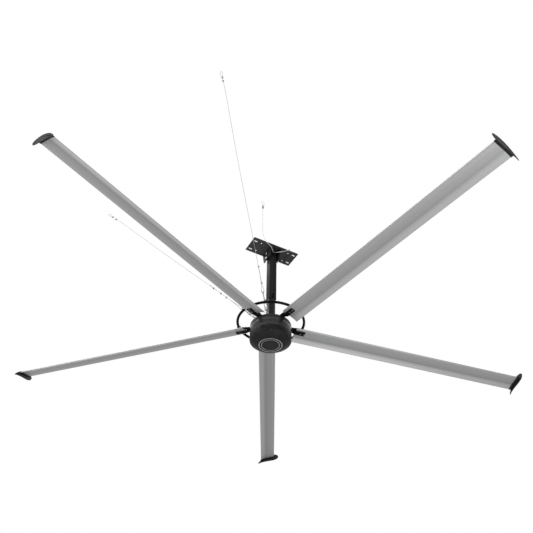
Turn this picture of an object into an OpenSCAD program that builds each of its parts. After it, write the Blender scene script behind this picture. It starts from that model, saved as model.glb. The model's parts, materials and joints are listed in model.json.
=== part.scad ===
// Industrial ceiling fan: five long blades on a hub motor, hung from a square downrod,
// with two guy wires and a safety cable. Millimetres, +Z up.
// Origin: centre of the ceiling plate's top face. +X runs along the plate's length.

/* [Ceiling plate] */
// Length of the plate
plate_l = 530; // [500:5:640]
// Width of the plate
plate_w = 210; // [205:5:280]
// Thickness of the plate
plate_t = 12; // [8:1:16]
// End-to-end length of each slot
slot_l = 36; // [28:1:44]
// Width of each slot
slot_w = 13; // [11:0.5:18]
// Slot spacing along the plate
slot_pitch_x = 456; // [420:2:460]
// Slot and hole spacing across the plate
hole_pitch_y = 128; // [110:2:150]
// Round hole diameter
hole_d = 13; // [11:0.5:18]
// Round hole spacing along the plate
hole_pitch_x = 324; // [300:2:350]

/* [Hanger bracket] */
// Height of the two ears below the plate
ear_h = 130; // [128:1:180]
// Thickness of each ear
ear_t = 10; // [6:1:14]
// Clear width between the ears
ear_gap = 100; // [92:1:110]
// Width of an ear where it meets the plate
ear_top_w = 196; // [170:1:200]
// Width of an ear at its lower edge
ear_bottom_w = 140; // [110:1:150]
// Upper cross bolt, distance below the plate
hanger_bolt_drop = 50; // [44:1:60]
// Distance between the two cross bolts
hanger_bolt_pitch = 58; // [50:1:60]
// Thread diameter of the cross bolts
hanger_bolt_d = 16; // [12:1:18]

/* [Downrod] */
// Outside width of the square tube
rod_w = 80; // [70:1:90]
// Wall of the square tube
rod_wall = 5; // [3:0.5:6]
// Outside corner radius of the tube
rod_corner_r = 8; // [6.5:0.5:10]
// Length of the square tube
rod_l = 660; // [500:2:1500]
// Gap between the plate and the tube
rod_top_gap = 12; // [6:1:20]
// Diameter of the round neck below the tube
neck_d = 84; // [72:1:86]
// Length of the round neck down to its flange
neck_l = 292; // [250:2:400]
// Diameter of the cable way through neck and shaft
cable_way_d = 36; // [24:1:40]

/* [Hub] */
// Radius of the hub
hub_r = 201; // [196:1:210]
// Depth of the top cover, from the hub's top to the rotor web
top_cover_h = 42; // [36:1:50]
// Height of the rotor housing below the web's top
housing_h = 80; // [78:1:90]
// Straight side of the bottom cover
bottom_side_h = 64; // [52:1:72]
// Depth of the cone under the straight side
bottom_cone_h = 36; // [33:1:40]
// Radius of the round plate on the bottom
disc_r = 121; // [110:1:126]
// Thickness of the round plate
disc_t = 5; // [3:0.5:7]
// Clearance between stator and magnets
air_gap = 1.5; // [0.8:0.1:2]

/* [Blades] */
// Radius to the visible outer end of the blades
blade_end_r = 2725; // [1500:25:3500]
// Radius to the inner end of the blades
blade_root_r = 256; // [250:1:259]
// Chord of the blades
chord = 176; // [165:1:185]
// Depth of the blade plane below the hub's top
blade_drop = 16; // [0:1:20]
// Pitch of the blades, leading edge high
blade_pitch = 18; // [8:1:24]
// Droop of the blades under their own weight
blade_droop = 1; // [0:0.25:2]
// Skin thickness of the blades
blade_skin = 2.5; // [1.5:0.1:3]
// Turn of the first blade from +X
first_blade = 61.5; // [0:0.5:71.5]
// Length of the end plates' sleeves along the blade
tip_sleeve_l = 28; // [18:1:35]
// Thickness of the end plates
tip_plate_t = 4; // [3:0.5:8]
// Width of the blade arms
arm_w = 48; // [40:1:52]
// Thickness of the blade arms
arm_t = 10; // [8:0.5:10]
// Radius to the outer end of the arms
arm_end_r = 352; // [352:1:370]

/* [Safety ring] */
// Radius of the ring's centre line
ring_r = 324; // [322:1:328]
// Tube diameter of the ring
ring_d = 26; // [20:1:28]
// Height of the ring above the blade axis
ring_lift = 56; // [54:1:70]

/* [Guy wires] */
// Wire diameter
wire_d = 4; // [3:0.1:4.4]
// Height of the anchor holes above the hub
anchor_lift = 50; // [50:1:70]
// Radius to the anchor holes
anchor_r = 105; // [95:1:115]
// Travel of each screw eye, each way
screw_travel = 12; // [5:1:14]

/* [Hidden] */

$fn = 64;
cut = 1;              // overrun of every cut
fit = 0.25;           // radial clearance of a bolt in its hole
run = 0.5;            // clearance between pieces that move past each other
blade_count = 5;
blade_turn = 360 / blade_count;

// Levels below the ceiling
plate_bottom = -plate_t;
ear_bottom = plate_bottom - ear_h;
hanger_bolt_z = [plate_bottom - hanger_bolt_drop,
                 plate_bottom - hanger_bolt_drop - hanger_bolt_pitch];
rod_top = plate_bottom - rod_top_gap;
rod_bottom = rod_top - rod_l;
coupling_flange_t = 12;
shaft_flange_t = 12;
hub_gap = 4;          // air between the shaft flange and the hub
coupling_bottom = rod_bottom - neck_l - coupling_flange_t;
shaft_flange_bottom = coupling_bottom - shaft_flange_t;
hub_top = shaft_flange_bottom - hub_gap;
blade_z = hub_top - blade_drop;    // the blade axes meet the fan axis here

// Hub levels and radii
web_top = hub_top - top_cover_h;
web_t = 12;
housing_bottom = web_top - housing_h;
side_bottom = housing_bottom - bottom_side_h;
hub_bottom = side_bottom - bottom_cone_h;
housing_wall = 15;
housing_inner_r = hub_r - housing_wall;
seam_h = 3;
edge_r = 14;          // rounded lower edge of the bottom cover
cover_wall = 8;
cone_r = disc_r + 7;  // the cone ends just outside the round plate
screw_circle_r = hub_r - 9.5;
cover_screw_count = 6;
cover_screw_turn = -118;
cover_screw_d = 6;
cover_screw_grip = 18;
screw_head_r = 5;
screw_head_t = 6;
top_skin = 4;
top_cover_hole_r = 42;
top_edge_r = 6;
yoke_t = 6;
magnet_t = 8;
yoke_inner_r = housing_inner_r - yoke_t;
magnet_inner_r = yoke_inner_r - magnet_t;
stator_r = magnet_inner_r - air_gap;
core_inner_r = 110;
core_back_t = 18;
core_h = 52;
core_top = web_top - web_t - 14;
tooth_count = 24;
tooth_w = 15;
shoe_w = 30;
shoe_t = 5;
coil_over = 7;        // coil height past the core, each side
coil_w = 11;
magnet_count = 28;
magnet_fill_share = 0.86;
spider_t = 12;
spider_rim_t = 6;

// Bearings: 70 bore, 110 outside, 20 wide
bearing_bore_r = 35;
bearing_out_r = 55;
bearing_w = 20;
bearing_ring_t = 6;
ball_r = 6;
ball_count = 10;
ball_circle_r = (bearing_bore_r + bearing_out_r) / 2;
raceway_r = ball_r + 0.4;
upper_bearing_top = web_top - 4;
lower_bearing_bottom = housing_bottom - bottom_side_h - 2;
bearing_tops = [upper_bearing_top, lower_bearing_bottom + bearing_w];
boss_t = 11;
lip_r = 50;
lip_t = 6;
shaft_nut_r = 46;
shaft_nut_t = 12;
shaft_bottom = lower_bearing_bottom - shaft_nut_t;
seal_t = 3.5;

// Hexagon fasteners: head height and width over corners as shares of the thread
head_t_share = 0.62;
nut_share = 1.2;      // a nut is this much thicker than a head
head_r_share = 0.98;
washer_r_share = 1.1;
washer_t = 2.5;

// Spigot of the coupling in the square tube
spigot_l = 70;
spigot_slack = 0.2;
coupling_bolt_d = 12;
coupling_bolt_inset = 18;
coupling_bolt_z = [rod_bottom + coupling_bolt_inset, rod_bottom + spigot_l - coupling_bolt_inset];

// Flange between coupling and shaft
flange_bolt_d = 12;
flange_bolt_count = 6;
flange_bolt_circle_r = neck_d / 2 + flange_bolt_d * head_r_share + run;
flange_r = flange_bolt_circle_r + flange_bolt_d * head_r_share;

// Cable gland on the far side of the neck
gland_turn = 60;
gland_lift = 150;
gland_thread_r = 8;
gland_r = 12;
gland_l = 12;
gland_dome_l = 14;
gland_wall = 4;

// Blade section, heights above the straight line from nose to tail, as shares of the chord
foil_shares = [0, 0.0125, 0.03, 0.06, 0.10, 0.16, 0.25, 0.35, 0.45, 0.55, 0.65, 0.75, 0.85,
    0.93, 1];
foil_upper_shares = [0, 0.033, 0.057, 0.084, 0.109, 0.132, 0.153, 0.162, 0.162, 0.155, 0.140,
    0.116, 0.080, 0.044, 0.006];
foil_lower_shares = [0, -0.019, -0.027, -0.031, -0.0295, -0.023, -0.0134, -0.0027, 0.008,
    0.0187, 0.0294, 0.025, 0.015, 0.0035, -0.006];
flat_from = 4;        // the underside is flat from this station
flat_to = 10;         // to this one
nose_share = 0.304;   // share of the chord ahead of the pitch axis
chord_lift = chord * (0.5 - nose_share) * tan(blade_pitch);  // keeps mid chord level with the axis
cell_shares = [[0.03, 0.14], [0.155, 0.46], [0.475, 0.86]];
upper_table = [for (i = [0:len(foil_shares) - 1]) [foil_shares[i], foil_upper_shares[i]]];
lower_table = [for (i = [0:len(foil_shares) - 1]) [foil_shares[i], foil_lower_shares[i]]];
flat_slope = (foil_lower_shares[flat_to] - foil_lower_shares[flat_from])
    / (foil_shares[flat_to] - foil_shares[flat_from]);
flat_angle = atan(flat_slope);
function flat_at(x) = foil_lower_shares[flat_from] + (x - foil_shares[flat_from]) * flat_slope;
seat_h = chord * flat_at(nose_share) + chord_lift;
foil_rise = chord * max([for (i = [0:len(foil_shares) - 1])
    foil_upper_shares[i] - flat_at(foil_shares[i])]) * cos(flat_angle);

// Outline of the end plates, from the nose round the tail, as shares of the chord
winglet_shares = [[-0.31, -0.02], [-0.28, -0.11], [-0.21, -0.18], [-0.1, -0.22], [0.05, -0.235],
    [0.25, -0.225], [0.5, -0.19], [0.8, -0.16], [1.05, -0.155], [1.2, -0.165], [1.255, -0.165],
    [1.25, -0.13], [1.15, -0.05], [1, 0.04], [0.85, 0.11], [0.65, 0.18], [0.45, 0.22],
    [0.25, 0.235], [0.05, 0.21], [-0.12, 0.155], [-0.24, 0.085]];
tip_sleeve_t = 2;
blade_tip_r = blade_end_r + tip_sleeve_l;
winglet_screw_shares = [0.22, 0.62];
winglet_screw_r = 3;
winglet_screw_l = 8;
winglet_screw_head_t = 2;

// Arms, clamps and their bolts
arm_root_r = 84;
arm_root_end = hub_r + 5;
seat_start_r = 246;
seat_t = 8;
clamp_t = 8;
clamp_root_r = 146;
clamp_end_r = arm_end_r - 1;
arm_block_end_r = 176; // inside the cover's wall
arm_bolt_rs = [100, 130];
foot_bolt_r = 164;
arm_bolt_d = 12;
blade_bolt_inset = 12;
blade_bolt_d = 8;
bush_wall = 2.5;
bush_end_gap = 1.5;   // the skins curve, so the sleeves stop short of them
slice = 1;            // the necks start and end this far inside the roots and the seats
neck_overlap = 4;
neck_inset = 0.8;     // the necks are this much slimmer all round

// Safety ring: U-bolts over the ring, on saddles that level it with the tilted bars
u_bolt_d = 8;
u_bolt_slack = 1.5;   // the bars droop under a level ring
u_bow_r = (ring_d + u_bolt_d) / 2 + u_bolt_slack;
u_bolt_past = 5;
nut_gap = 3;          // between a blade bolt's head and the U-bolt's nut
blade_bolt_rs = [blade_root_r + blade_bolt_inset,
                 ring_r - u_bow_r - (u_bolt_d + blade_bolt_d) * head_r_share - nut_gap];
saddle_l = 22;
saddle_w = 36;
clamp_top = foil_rise + clamp_t;
// where the ring's centre line crosses a seat's middle, measured from the seat
ring_seat_z = (ring_lift + ring_r * sin(blade_droop)) / cos(blade_pitch) - seat_h;

// Guy wires: turn from +X and rise of each wire; the last two anchors are spare
guy_turns = [-136.5, 155, 43.5, -25];
guy_rises = [50, 39];
guy_rolls = [0, 90];
anchor_z = hub_top + anchor_lift;
lug_t = 8;
lug_h = 26;
lug_past = 13;
collar_t = 12;
collar_h = 26;
anchor_hole_d = 11;
// Turnbuckle, measured along the wire from the anchor hole
jaw_t = 5;
jaw_back = 12;
jaw_w = 20;
jaw_throat = 26;
jaw_block = 10;
screw_d = 10;
jaw_rod_end = 88;
frame_from = 48;
frame_to = 158;
frame_boss_r = 9;
frame_boss_l = 16;
frame_bar_r = 3.5;
frame_bar_offset = 12;
eye_at = 221.5;
eye_r = 13;
eye_wire_r = 4;
eye_rod_from = 118;
// Thimble in the wire's lower loop
loop_r = 13;
loop_at = 239;
thimble_t = 1.2;
thimble_w = 5;
thimble_gap = 0.6;
thimble_leg_l = 14;
thimble_leg_turn = 12;
strand_gap = 5;       // between the wire and its tail, in a clip
// Clips along each wire, and half sizes of a clip
clip_places = [[321, 481, 2357, 2391], [445, 521, 620, 2095, 2150]];
clip_l = 10;
clip_w = 22;
clip_h = 9;
clip_bow_r = 2.5;
clip_nut_r = 5.5;
clip_nut_t = 5;
// Routes of the wires: along the wire and across it
route_a = [[500, 5], [312, 5], [288, 8], [262, 12], [239, 13], [233, 11.5], [228, 7], [226, 0],
    [228, -7], [233, -11.5], [239, -13], [262, -9], [288, -3], [312, 0], [1600, 0], [2400, 0],
    [2420, -9], [2436, -13], [2448, -9], [2453, 1], [2448, 11], [2436, 15], [2420, 11],
    [2400, 5], [2330, 5]];
route_b = [[680, 12], [630, 5], [312, 5], [288, 8], [262, 12], [239, 13], [233, 11.5], [228, 7],
    [226, 0], [228, -7], [233, -11.5], [239, -13], [262, -9], [288, -3], [312, 0], [1200, 0],
    [2160, 0], [2180, -9], [2196, -13], [2208, -9], [2213, 1], [2208, 11], [2196, 15],
    [2180, 11], [2160, 5], [2075, 5]];
// Route of the safety cable, from its terminal to its top loop
safety_d = 5;
safety_route_y = -115;
safety_route = [[132, -114, -18], [122, -114, -26], [90, -110, -48], [60, -101, -62],
    [30, -80, -66], [8, -63, -67], [-14, -63, -67], [-40, -86, -61], [-62, -104, -51],
    [-98, -114, -36], [-130, -116, -12], [-150, -116, 18], [-168, -115, 60], [-176, -115, 110],
    [-180, -115, 300], [-180, -115, 530], [-170, -115, 550], [-166, -115, 564],
    [-170, -115, 576], [-180, -115, 583], [-190, -115, 583], [-200, -115, 576],
    [-203, -115, 564], [-198, -115, 550], [-186, -115, 530], [-186, -115, 470]];
safety_lug_t = 8;
safety_lug_reach = 38;
safety_lug_h = 32;
safety_hole_r = 9;
safety_hole_y = -62;
safety_hole_z = -67;
safety_clip_zs = [486, 512];
safety_clip_x = -180;  // the cable is straight here, with its tail one gap further out
safety_strand_gap = 6;
terminal_x = 150;
terminal_r = 10;
terminal_hole_r = 4.3;
terminal_t = 5;
terminal_gap = 2;
terminal_thread_l = 20;
terminal_fall = 34;    // the cable leaves the terminal this far below level
ferrule_r = 4.5;
ferrule_l = 22;
cord_sides = 8;

// Common shapes

module ring(outer_r, inner_r, h, z) {
    translate([0, 0, z]) difference() {
        cylinder(r = outer_r, h = h);
        translate([0, 0, -cut]) cylinder(r = inner_r, h = h + 2 * cut);
    }
}

// A hexagon bolt whose head's underside is at z = 0 and whose shank runs up
module hex_bolt(d, l) {
    head_t = d * head_t_share;
    translate([0, 0, -head_t]) cylinder(r = d * head_r_share, h = head_t, $fn = 6);
    cylinder(d = d, h = l);
}

module hex_nut(d) {
    difference() {
        cylinder(r = d * head_r_share, h = d * head_t_share * nut_share, $fn = 6);
        translate([0, 0, -cut]) cylinder(r = d / 2 + fit / 4, h = d * 2);
    }
}

module washer(d) {
    ring(d * washer_r_share, d / 2 + fit, washer_t, 0);
}

// A square with round corners, centred
module round_square(l, w, r) {
    square([l - 2 * r, w], center = true);
    square([l, w - 2 * r], center = true);
    for (x = [-1, 1], y = [-1, 1]) translate([x * (l / 2 - r), y * (w / 2 - r)]) circle(r = r);
}

// Places of a rectangle's four corners
module four(pitch_x, pitch_y) {
    for (x = [-1, 1], y = [-1, 1]) translate([x * pitch_x / 2, y * pitch_y / 2, 0]) children();
}

module turned(count, first = 0) {
    for (i = [0:count - 1]) rotate([0, 0, first + i * 360 / count]) children();
}

// Blade i: X runs out along the blade, Y to its tail, Z up from its chord
module at_blade(i) {
    rotate([0, 0, first_blade + i * blade_turn]) translate([0, 0, blade_z])
        rotate([0, blade_droop, 0]) rotate([-blade_pitch, 0, 0]) children();
}

// The same, with Z = 0 on the flat underside of the blade
module at_seat(i) {
    at_blade(i) translate([0, 0, seat_h]) rotate([flat_angle, 0, 0]) children();
}

module every_seat() {
    for (i = [0:blade_count - 1]) at_seat(i) children();
}

// Wire k: X runs up along the wire from its anchor hole
module at_wire(k) {
    rotate([0, 0, guy_turns[k]]) translate([anchor_r, 0, anchor_z])
        rotate([0, -guy_rises[k], 0]) children();
}

// The same, rolled so that the wire's loops lie in the XY plane
module at_rolled(k) {
    at_wire(k) rotate([guy_rolls[k], 0, 0]) children();
}

// A tube swept along points; side is a direction that the route never follows
function unit(v) = v / norm(v);
function heading(p, i) = unit(p[min(i + 1, len(p) - 1)] - p[max(i - 1, 0)]);
function tube_ring(p, i, r, side) =
    let (t = heading(p, i), n = unit(cross(side, t)), b = cross(t, n))
    [for (k = [0:cord_sides - 1]) p[i] + r * (cos(360 * k / cord_sides) * n
        + sin(360 * k / cord_sides) * b)];
function tube_points(p, r, side) = [for (i = [0:len(p) - 1]) each tube_ring(p, i, r, side)];
function tube_faces(count) = concat(
    [[for (k = [cord_sides - 1:-1:0]) k]],
    [for (i = [0:count - 2], k = [0:cord_sides - 1]) let (n = (k + 1) % cord_sides)
        [i * cord_sides + k, i * cord_sides + n, (i + 1) * cord_sides + n,
         (i + 1) * cord_sides + k]],
    [[for (k = [0:cord_sides - 1]) (count - 1) * cord_sides + k]]);
module tube(p, r, side) {
    polyhedron(points = tube_points(p, r, side), faces = tube_faces(len(p)), convexity = 8);
}

// Ceiling plate and hanger

module ceiling_plate() {
    color("dimgray") translate([0, 0, plate_bottom]) difference() {
        linear_extrude(height = plate_t) square([plate_l, plate_w], center = true);
        four(slot_pitch_x, hole_pitch_y) {
            for (x = [-1, 1]) translate([x * (slot_l - slot_w) / 2, 0, -cut])
                cylinder(d = slot_w, h = plate_t + 2 * cut);
            translate([-(slot_l - slot_w) / 2, -slot_w / 2, -cut])
                cube([slot_l - slot_w, slot_w, plate_t + 2 * cut]);
        }
        four(hole_pitch_x, hole_pitch_y) translate([0, 0, -cut])
            cylinder(d = hole_d, h = plate_t + 2 * cut);
        // thread for the safety cable's bolt, in the near edge
        translate([terminal_x, -plate_w / 2 - cut, plate_t / 2]) rotate([-90, 0, 0])
            cylinder(r = terminal_hole_r, h = terminal_thread_l + cut);
    }
}

module ear_outline() {
    polygon([[-ear_top_w / 2, 0], [-ear_bottom_w / 2, -ear_h], [ear_bottom_w / 2, -ear_h],
             [ear_top_w / 2, 0]]);
}

module hanger_bracket() {
    color("dimgray") difference() {
        for (x = [-ear_gap / 2 - ear_t, ear_gap / 2]) translate([x, 0, plate_bottom])
            rotate([90, 0, 90]) linear_extrude(height = ear_t) ear_outline();
        for (z = hanger_bolt_z) translate([-ear_gap, 0, z]) rotate([0, 90, 0])
            cylinder(d = hanger_bolt_d + 2 * fit, h = 2 * ear_gap);
    }
}

module hanger_bolts() {
    color("silver") for (z = hanger_bolt_z)
        translate([-ear_gap / 2 - ear_t - washer_t, 0, z]) rotate([0, 90, 0])
            hex_bolt(hanger_bolt_d, ear_gap + 2 * ear_t + 2 * washer_t + hanger_bolt_d);
}

module hanger_spacers() {
    color("dimgray") for (z = hanger_bolt_z, s = [0, 180])
        translate([0, 0, z]) rotate([0, 0, s]) translate([rod_w / 2, 0, 0]) rotate([0, 90, 0])
            ring(hanger_bolt_d, hanger_bolt_d / 2 + fit, ear_gap / 2 - rod_w / 2, 0);
}

// Nuts on both pairs of cross bolts
module rod_nuts() {
    color("silver") {
        for (z = hanger_bolt_z) translate([ear_gap / 2 + ear_t + washer_t, 0, z])
            rotate([0, 90, 0]) hex_nut(hanger_bolt_d);
        at_coupling_bolts(rod_w / 2 + washer_t) hex_nut(coupling_bolt_d);
    }
}

module rod_washers() {
    color("silver") {
        for (s = [0, 180], z = hanger_bolt_z) rotate([0, 0, s])
            translate([ear_gap / 2 + ear_t, 0, z]) rotate([0, 90, 0]) washer(hanger_bolt_d);
        at_coupling_bolts(rod_w / 2) washer(coupling_bolt_d);
    }
}

// Downrod and coupling

// Cross bolts of the spigot: Z runs from front to back, from a start
module at_coupling_bolts(start) {
    for (z = coupling_bolt_z) translate([0, start, z]) rotate([-90, 0, 0]) children();
}

module downrod() {
    color("dimgray") difference() {
        union() {
            translate([0, 0, rod_bottom]) linear_extrude(height = rod_l) difference() {
                round_square(rod_w, rod_w, rod_corner_r);
                round_square(rod_w - 2 * rod_wall, rod_w - 2 * rod_wall, rod_corner_r - rod_wall);
            }
            // lug that the safety cable runs through
            translate([-safety_lug_t / 2, -rod_w / 2 - safety_lug_reach,
                safety_hole_z - safety_lug_h / 2])
                cube([safety_lug_t, safety_lug_reach + rod_wall / 2, safety_lug_h]);
        }
        translate([-safety_lug_t, safety_hole_y, safety_hole_z]) rotate([0, 90, 0])
            cylinder(r = safety_hole_r, h = 2 * safety_lug_t);
        for (z = hanger_bolt_z) translate([-rod_w, 0, z]) rotate([0, 90, 0])
            cylinder(d = hanger_bolt_d + 2 * fit, h = 2 * rod_w);
        at_coupling_bolts(-rod_w) cylinder(d = coupling_bolt_d + 2 * fit, h = 2 * rod_w);
    }
}

module rod_coupling() {
    spigot_w = rod_w - 2 * rod_wall - 2 * spigot_slack;
    color("dimgray") difference() {
        union() {
            translate([0, 0, rod_bottom]) linear_extrude(height = spigot_l)
                round_square(spigot_w, spigot_w, rod_corner_r - rod_wall);
            translate([0, 0, coupling_bottom]) cylinder(d = neck_d, h = neck_l + coupling_flange_t);
            translate([0, 0, coupling_bottom]) cylinder(r = flange_r, h = coupling_flange_t);
        }
        translate([0, 0, coupling_bottom - cut])
            cylinder(d = cable_way_d, h = neck_l + coupling_flange_t + spigot_l + 2 * cut);
        at_coupling_bolts(-rod_w) cylinder(d = coupling_bolt_d + 2 * fit, h = 2 * rod_w);
        turned(flange_bolt_count) translate([flange_bolt_circle_r, 0, coupling_bottom - cut])
            cylinder(d = flange_bolt_d + 2 * fit, h = coupling_flange_t + 2 * cut);
        at_gland() cylinder(r = gland_thread_r, h = neck_d / 2);
    }
}

module coupling_bolts() {
    color("dimgray") at_coupling_bolts(-rod_w / 2)
        hex_bolt(coupling_bolt_d, rod_w + washer_t + coupling_bolt_d);
}

module flange_bolts() {
    color("silver") turned(flange_bolt_count)
        translate([flange_bolt_circle_r, 0, coupling_bottom + coupling_flange_t]) {
            rotate([180, 0, 0]) hex_bolt(flange_bolt_d, coupling_flange_t + shaft_flange_t);
        }
}

// Cable gland on the far side of the neck
module at_gland() {
    rotate([0, 0, gland_turn]) translate([0, 0, coupling_bottom + gland_lift])
        rotate([0, 90, 0]) children();
}

module cable_gland() {
    color("black") at_gland() difference() {
        union() {
            translate([0, 0, cable_way_d / 2 + gland_wall])
                cylinder(r = gland_thread_r - fit, h = neck_d / 2 - cable_way_d / 2);
            translate([0, 0, neck_d / 2]) cylinder(r = gland_r, h = gland_l, $fn = 6);
            translate([0, 0, neck_d / 2 + gland_l])
                cylinder(r1 = gland_r - 2, r2 = gland_thread_r, h = gland_dome_l);
        }
        cylinder(r = gland_wall, h = neck_d + gland_l + gland_dome_l);
    }
}

// Guy wire anchor and turnbuckles

module guy_anchor() {
    color("dimgray") difference() {
        union() {
            translate([0, 0, anchor_z - collar_h / 2]) cylinder(r = neck_d / 2 + collar_t, h = collar_h);
            for (a = guy_turns) rotate([0, 0, a])
                translate([neck_d / 2, -lug_t / 2, anchor_z - lug_h / 2])
                    cube([anchor_r + lug_past - neck_d / 2, lug_t, lug_h]);
        }
        translate([0, 0, anchor_z - lug_h]) cylinder(d = neck_d, h = 2 * lug_h);
        for (a = guy_turns) rotate([0, 0, a]) translate([anchor_r, -lug_t, anchor_z])
            rotate([-90, 0, 0]) cylinder(d = anchor_hole_d, h = 2 * lug_t);
    }
}

module turnbuckle_jaws() {
    plate_y = lug_t / 2 + run;
    color("silver") for (k = [0, 1]) at_wire(k) difference() {
        union() {
            for (s = [-1, 1]) translate([0, s * (plate_y + jaw_t / 2), 0]) {
                translate([-jaw_back, -jaw_t / 2, -jaw_w / 2])
                    cube([jaw_back + jaw_throat + jaw_block, jaw_t, jaw_w]);
            }
            translate([jaw_throat, -plate_y - jaw_t, -jaw_w / 2])
                cube([jaw_block, 2 * (plate_y + jaw_t), jaw_w]);
            translate([jaw_throat, 0, 0]) rotate([0, 90, 0])
                cylinder(d = screw_d, h = jaw_rod_end - jaw_throat);
        }
        translate([0, -2 * lug_t, 0]) rotate([-90, 0, 0])
            cylinder(d = anchor_hole_d, h = 4 * lug_t);
    }
}

module jaw_pins() {
    pin_l = lug_t + 2 * run + 2 * jaw_t;
    color("silver") for (k = [0, 1]) at_wire(k) translate([0, -pin_l / 2, 0])
        rotate([-90, 0, 0]) {
            cylinder(d = anchor_hole_d - 2 * fit, h = pin_l + washer_t);
            translate([0, 0, -washer_t]) cylinder(d = anchor_hole_d + washer_t, h = washer_t);
        }
}

module turnbuckle_frame(k) {
    color("lightgray") at_wire(k) difference() {
        union() {
            for (x = [frame_from, frame_to - frame_boss_l]) translate([x, 0, 0]) {
                rotate([0, 90, 0]) cylinder(r = frame_boss_r, h = frame_boss_l);
                translate([0, -frame_bar_offset, -frame_bar_r])
                    cube([frame_boss_l, 2 * frame_bar_offset, 2 * frame_bar_r]);
            }
            for (s = [-1, 1]) translate([frame_from, s * frame_bar_offset, 0])
                rotate([0, 90, 0]) cylinder(r = frame_bar_r, h = frame_to - frame_from);
        }
        translate([frame_from - cut, 0, 0]) rotate([0, 90, 0])
            cylinder(d = screw_d + 2 * run, h = frame_to - frame_from + 2 * cut);
    }
}

module screw_eye(k) {
    color("silver") at_rolled(k) {
        translate([eye_rod_from, 0, 0]) rotate([0, 90, 0])
            cylinder(d = screw_d, h = eye_at - eye_r - eye_rod_from);
        translate([eye_at, 0, 0]) rotate([90, 0, 0]) rotate_extrude()
            translate([eye_r, 0]) circle(r = eye_wire_r);
    }
}

// Liner that keeps the wire's loop round at the eye
module thimble() {
    inner_r = loop_r - wire_d / 2 - thimble_gap - thimble_t;
    rotate([0, 0, 90]) rotate_extrude(angle = 180)
        translate([inner_r, -thimble_w / 2]) square([thimble_t, thimble_w]);
    for (s = [-1, 1]) translate([0, s * (inner_r + thimble_t / 2), -thimble_w / 2])
        rotate([0, 0, -s * thimble_leg_turn]) translate([-thimble_t / 2, -thimble_t / 2, 0])
            cube([thimble_leg_l, thimble_t, thimble_w]);
}

module wire_clip(d, gap) {
    difference() {
        union() {
            translate([-clip_l / 2, gap / 2 - clip_w / 2, -clip_h / 2]) cube([clip_l, clip_w, clip_h]);
            for (s = [-1, 1]) translate([0, gap / 2 + s * (clip_w / 2 - clip_nut_r), 0]) {
                cylinder(r = clip_bow_r, h = clip_h / 2 + clip_nut_t + clip_bow_r);
                translate([0, 0, clip_h / 2]) cylinder(r = clip_nut_r, h = clip_nut_t, $fn = 6);
            }
            translate([0, gap / 2, -clip_h / 2]) rotate([0, 90, 0]) rotate([0, 0, -90])
                rotate_extrude(angle = 180) translate([clip_w / 2 - clip_nut_r, 0])
                    circle(r = clip_bow_r);
        }
        for (y = [0, gap]) translate([-clip_l, y, 0]) rotate([0, 90, 0])
            cylinder(r = d / 2 + fit, h = 2 * clip_l);
        translate([-clip_l, 0, -d / 2 - fit]) cube([2 * clip_l, gap, d + 2 * fit]);
    }
}

module wire_fittings(k) {
    color("silver") at_rolled(k) {
        for (x = clip_places[k]) translate([x, 0, 0]) wire_clip(wire_d, strand_gap);
        translate([loop_at, 0, 0]) thimble();
    }
}

module guy_wire(k, route) {
    color("gainsboro") at_rolled(k) tube([for (p = route) [p[0], p[1], 0]], wire_d / 2, [0, 0, 1]);
}

// Safety cable, its clips and its terminal on the plate's edge

module safety_cable() {
    color("gainsboro") tube(safety_route, safety_d / 2, [0, 1, 0]);
}

module safety_clips() {
    color("silver") for (z = safety_clip_zs) translate([safety_clip_x, safety_route_y, z])
        rotate([90, -90, 0]) wire_clip(safety_d, safety_strand_gap);
}

// Eye terminal swaged on the cable's end, and the bolt that holds it to the plate's edge
module safety_terminal() {
    eye_y = -plate_w / 2 - terminal_gap - terminal_t;
    eye_z = -plate_t / 2;
    color("silver") {
        difference() {
            union() {
                translate([terminal_x, eye_y, eye_z]) rotate([-90, 0, 0])
                    cylinder(r = terminal_r, h = terminal_t);
                translate([terminal_x, eye_y + terminal_t / 2, eye_z])
                    rotate([0, 90 + terminal_fall, 180]) cylinder(r = ferrule_r, h = ferrule_l);
            }
            translate([terminal_x, eye_y - terminal_t, eye_z]) rotate([-90, 0, 0])
                cylinder(r = terminal_hole_r, h = 3 * terminal_t);
        }
        translate([terminal_x, eye_y - run, eye_z]) rotate([-90, 0, 0])
            hex_bolt(2 * (terminal_hole_r - fit), terminal_t + terminal_gap + terminal_thread_l);
    }
}

// Stator

module stator_shaft() {
    color("gray") difference() {
        union() {
            ring(flange_r, cable_way_d / 2, shaft_flange_t, shaft_flange_bottom);
            ring(bearing_bore_r, cable_way_d / 2, shaft_flange_bottom - shaft_bottom, shaft_bottom);
            ring(core_inner_r - spider_rim_t / 2, bearing_bore_r - cut, spider_t,
                core_top - core_h / 2 - spider_t / 2);
            ring(core_inner_r, core_inner_r - spider_rim_t, core_h, core_top - core_h);
        }
        turned(flange_bolt_count) translate([flange_bolt_circle_r, 0, shaft_flange_bottom - cut])
            cylinder(d = flange_bolt_d + 2 * fit, h = shaft_flange_t + 2 * cut);
    }
}

module stator_core() {
    color("slategray") translate([0, 0, core_top - core_h]) linear_extrude(height = core_h) {
        difference() {
            circle(r = core_inner_r + core_back_t);
            circle(r = core_inner_r);
        }
        turned(tooth_count) {
            translate([core_inner_r + core_back_t - cut, -tooth_w / 2])
                square([stator_r - core_inner_r - core_back_t - shoe_t + 2 * cut, tooth_w]);
            intersection() {
                difference() {
                    circle(r = stator_r);
                    circle(r = stator_r - shoe_t);
                }
                translate([0, -shoe_w / 2]) square([stator_r, shoe_w]);
            }
        }
    }
}

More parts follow.
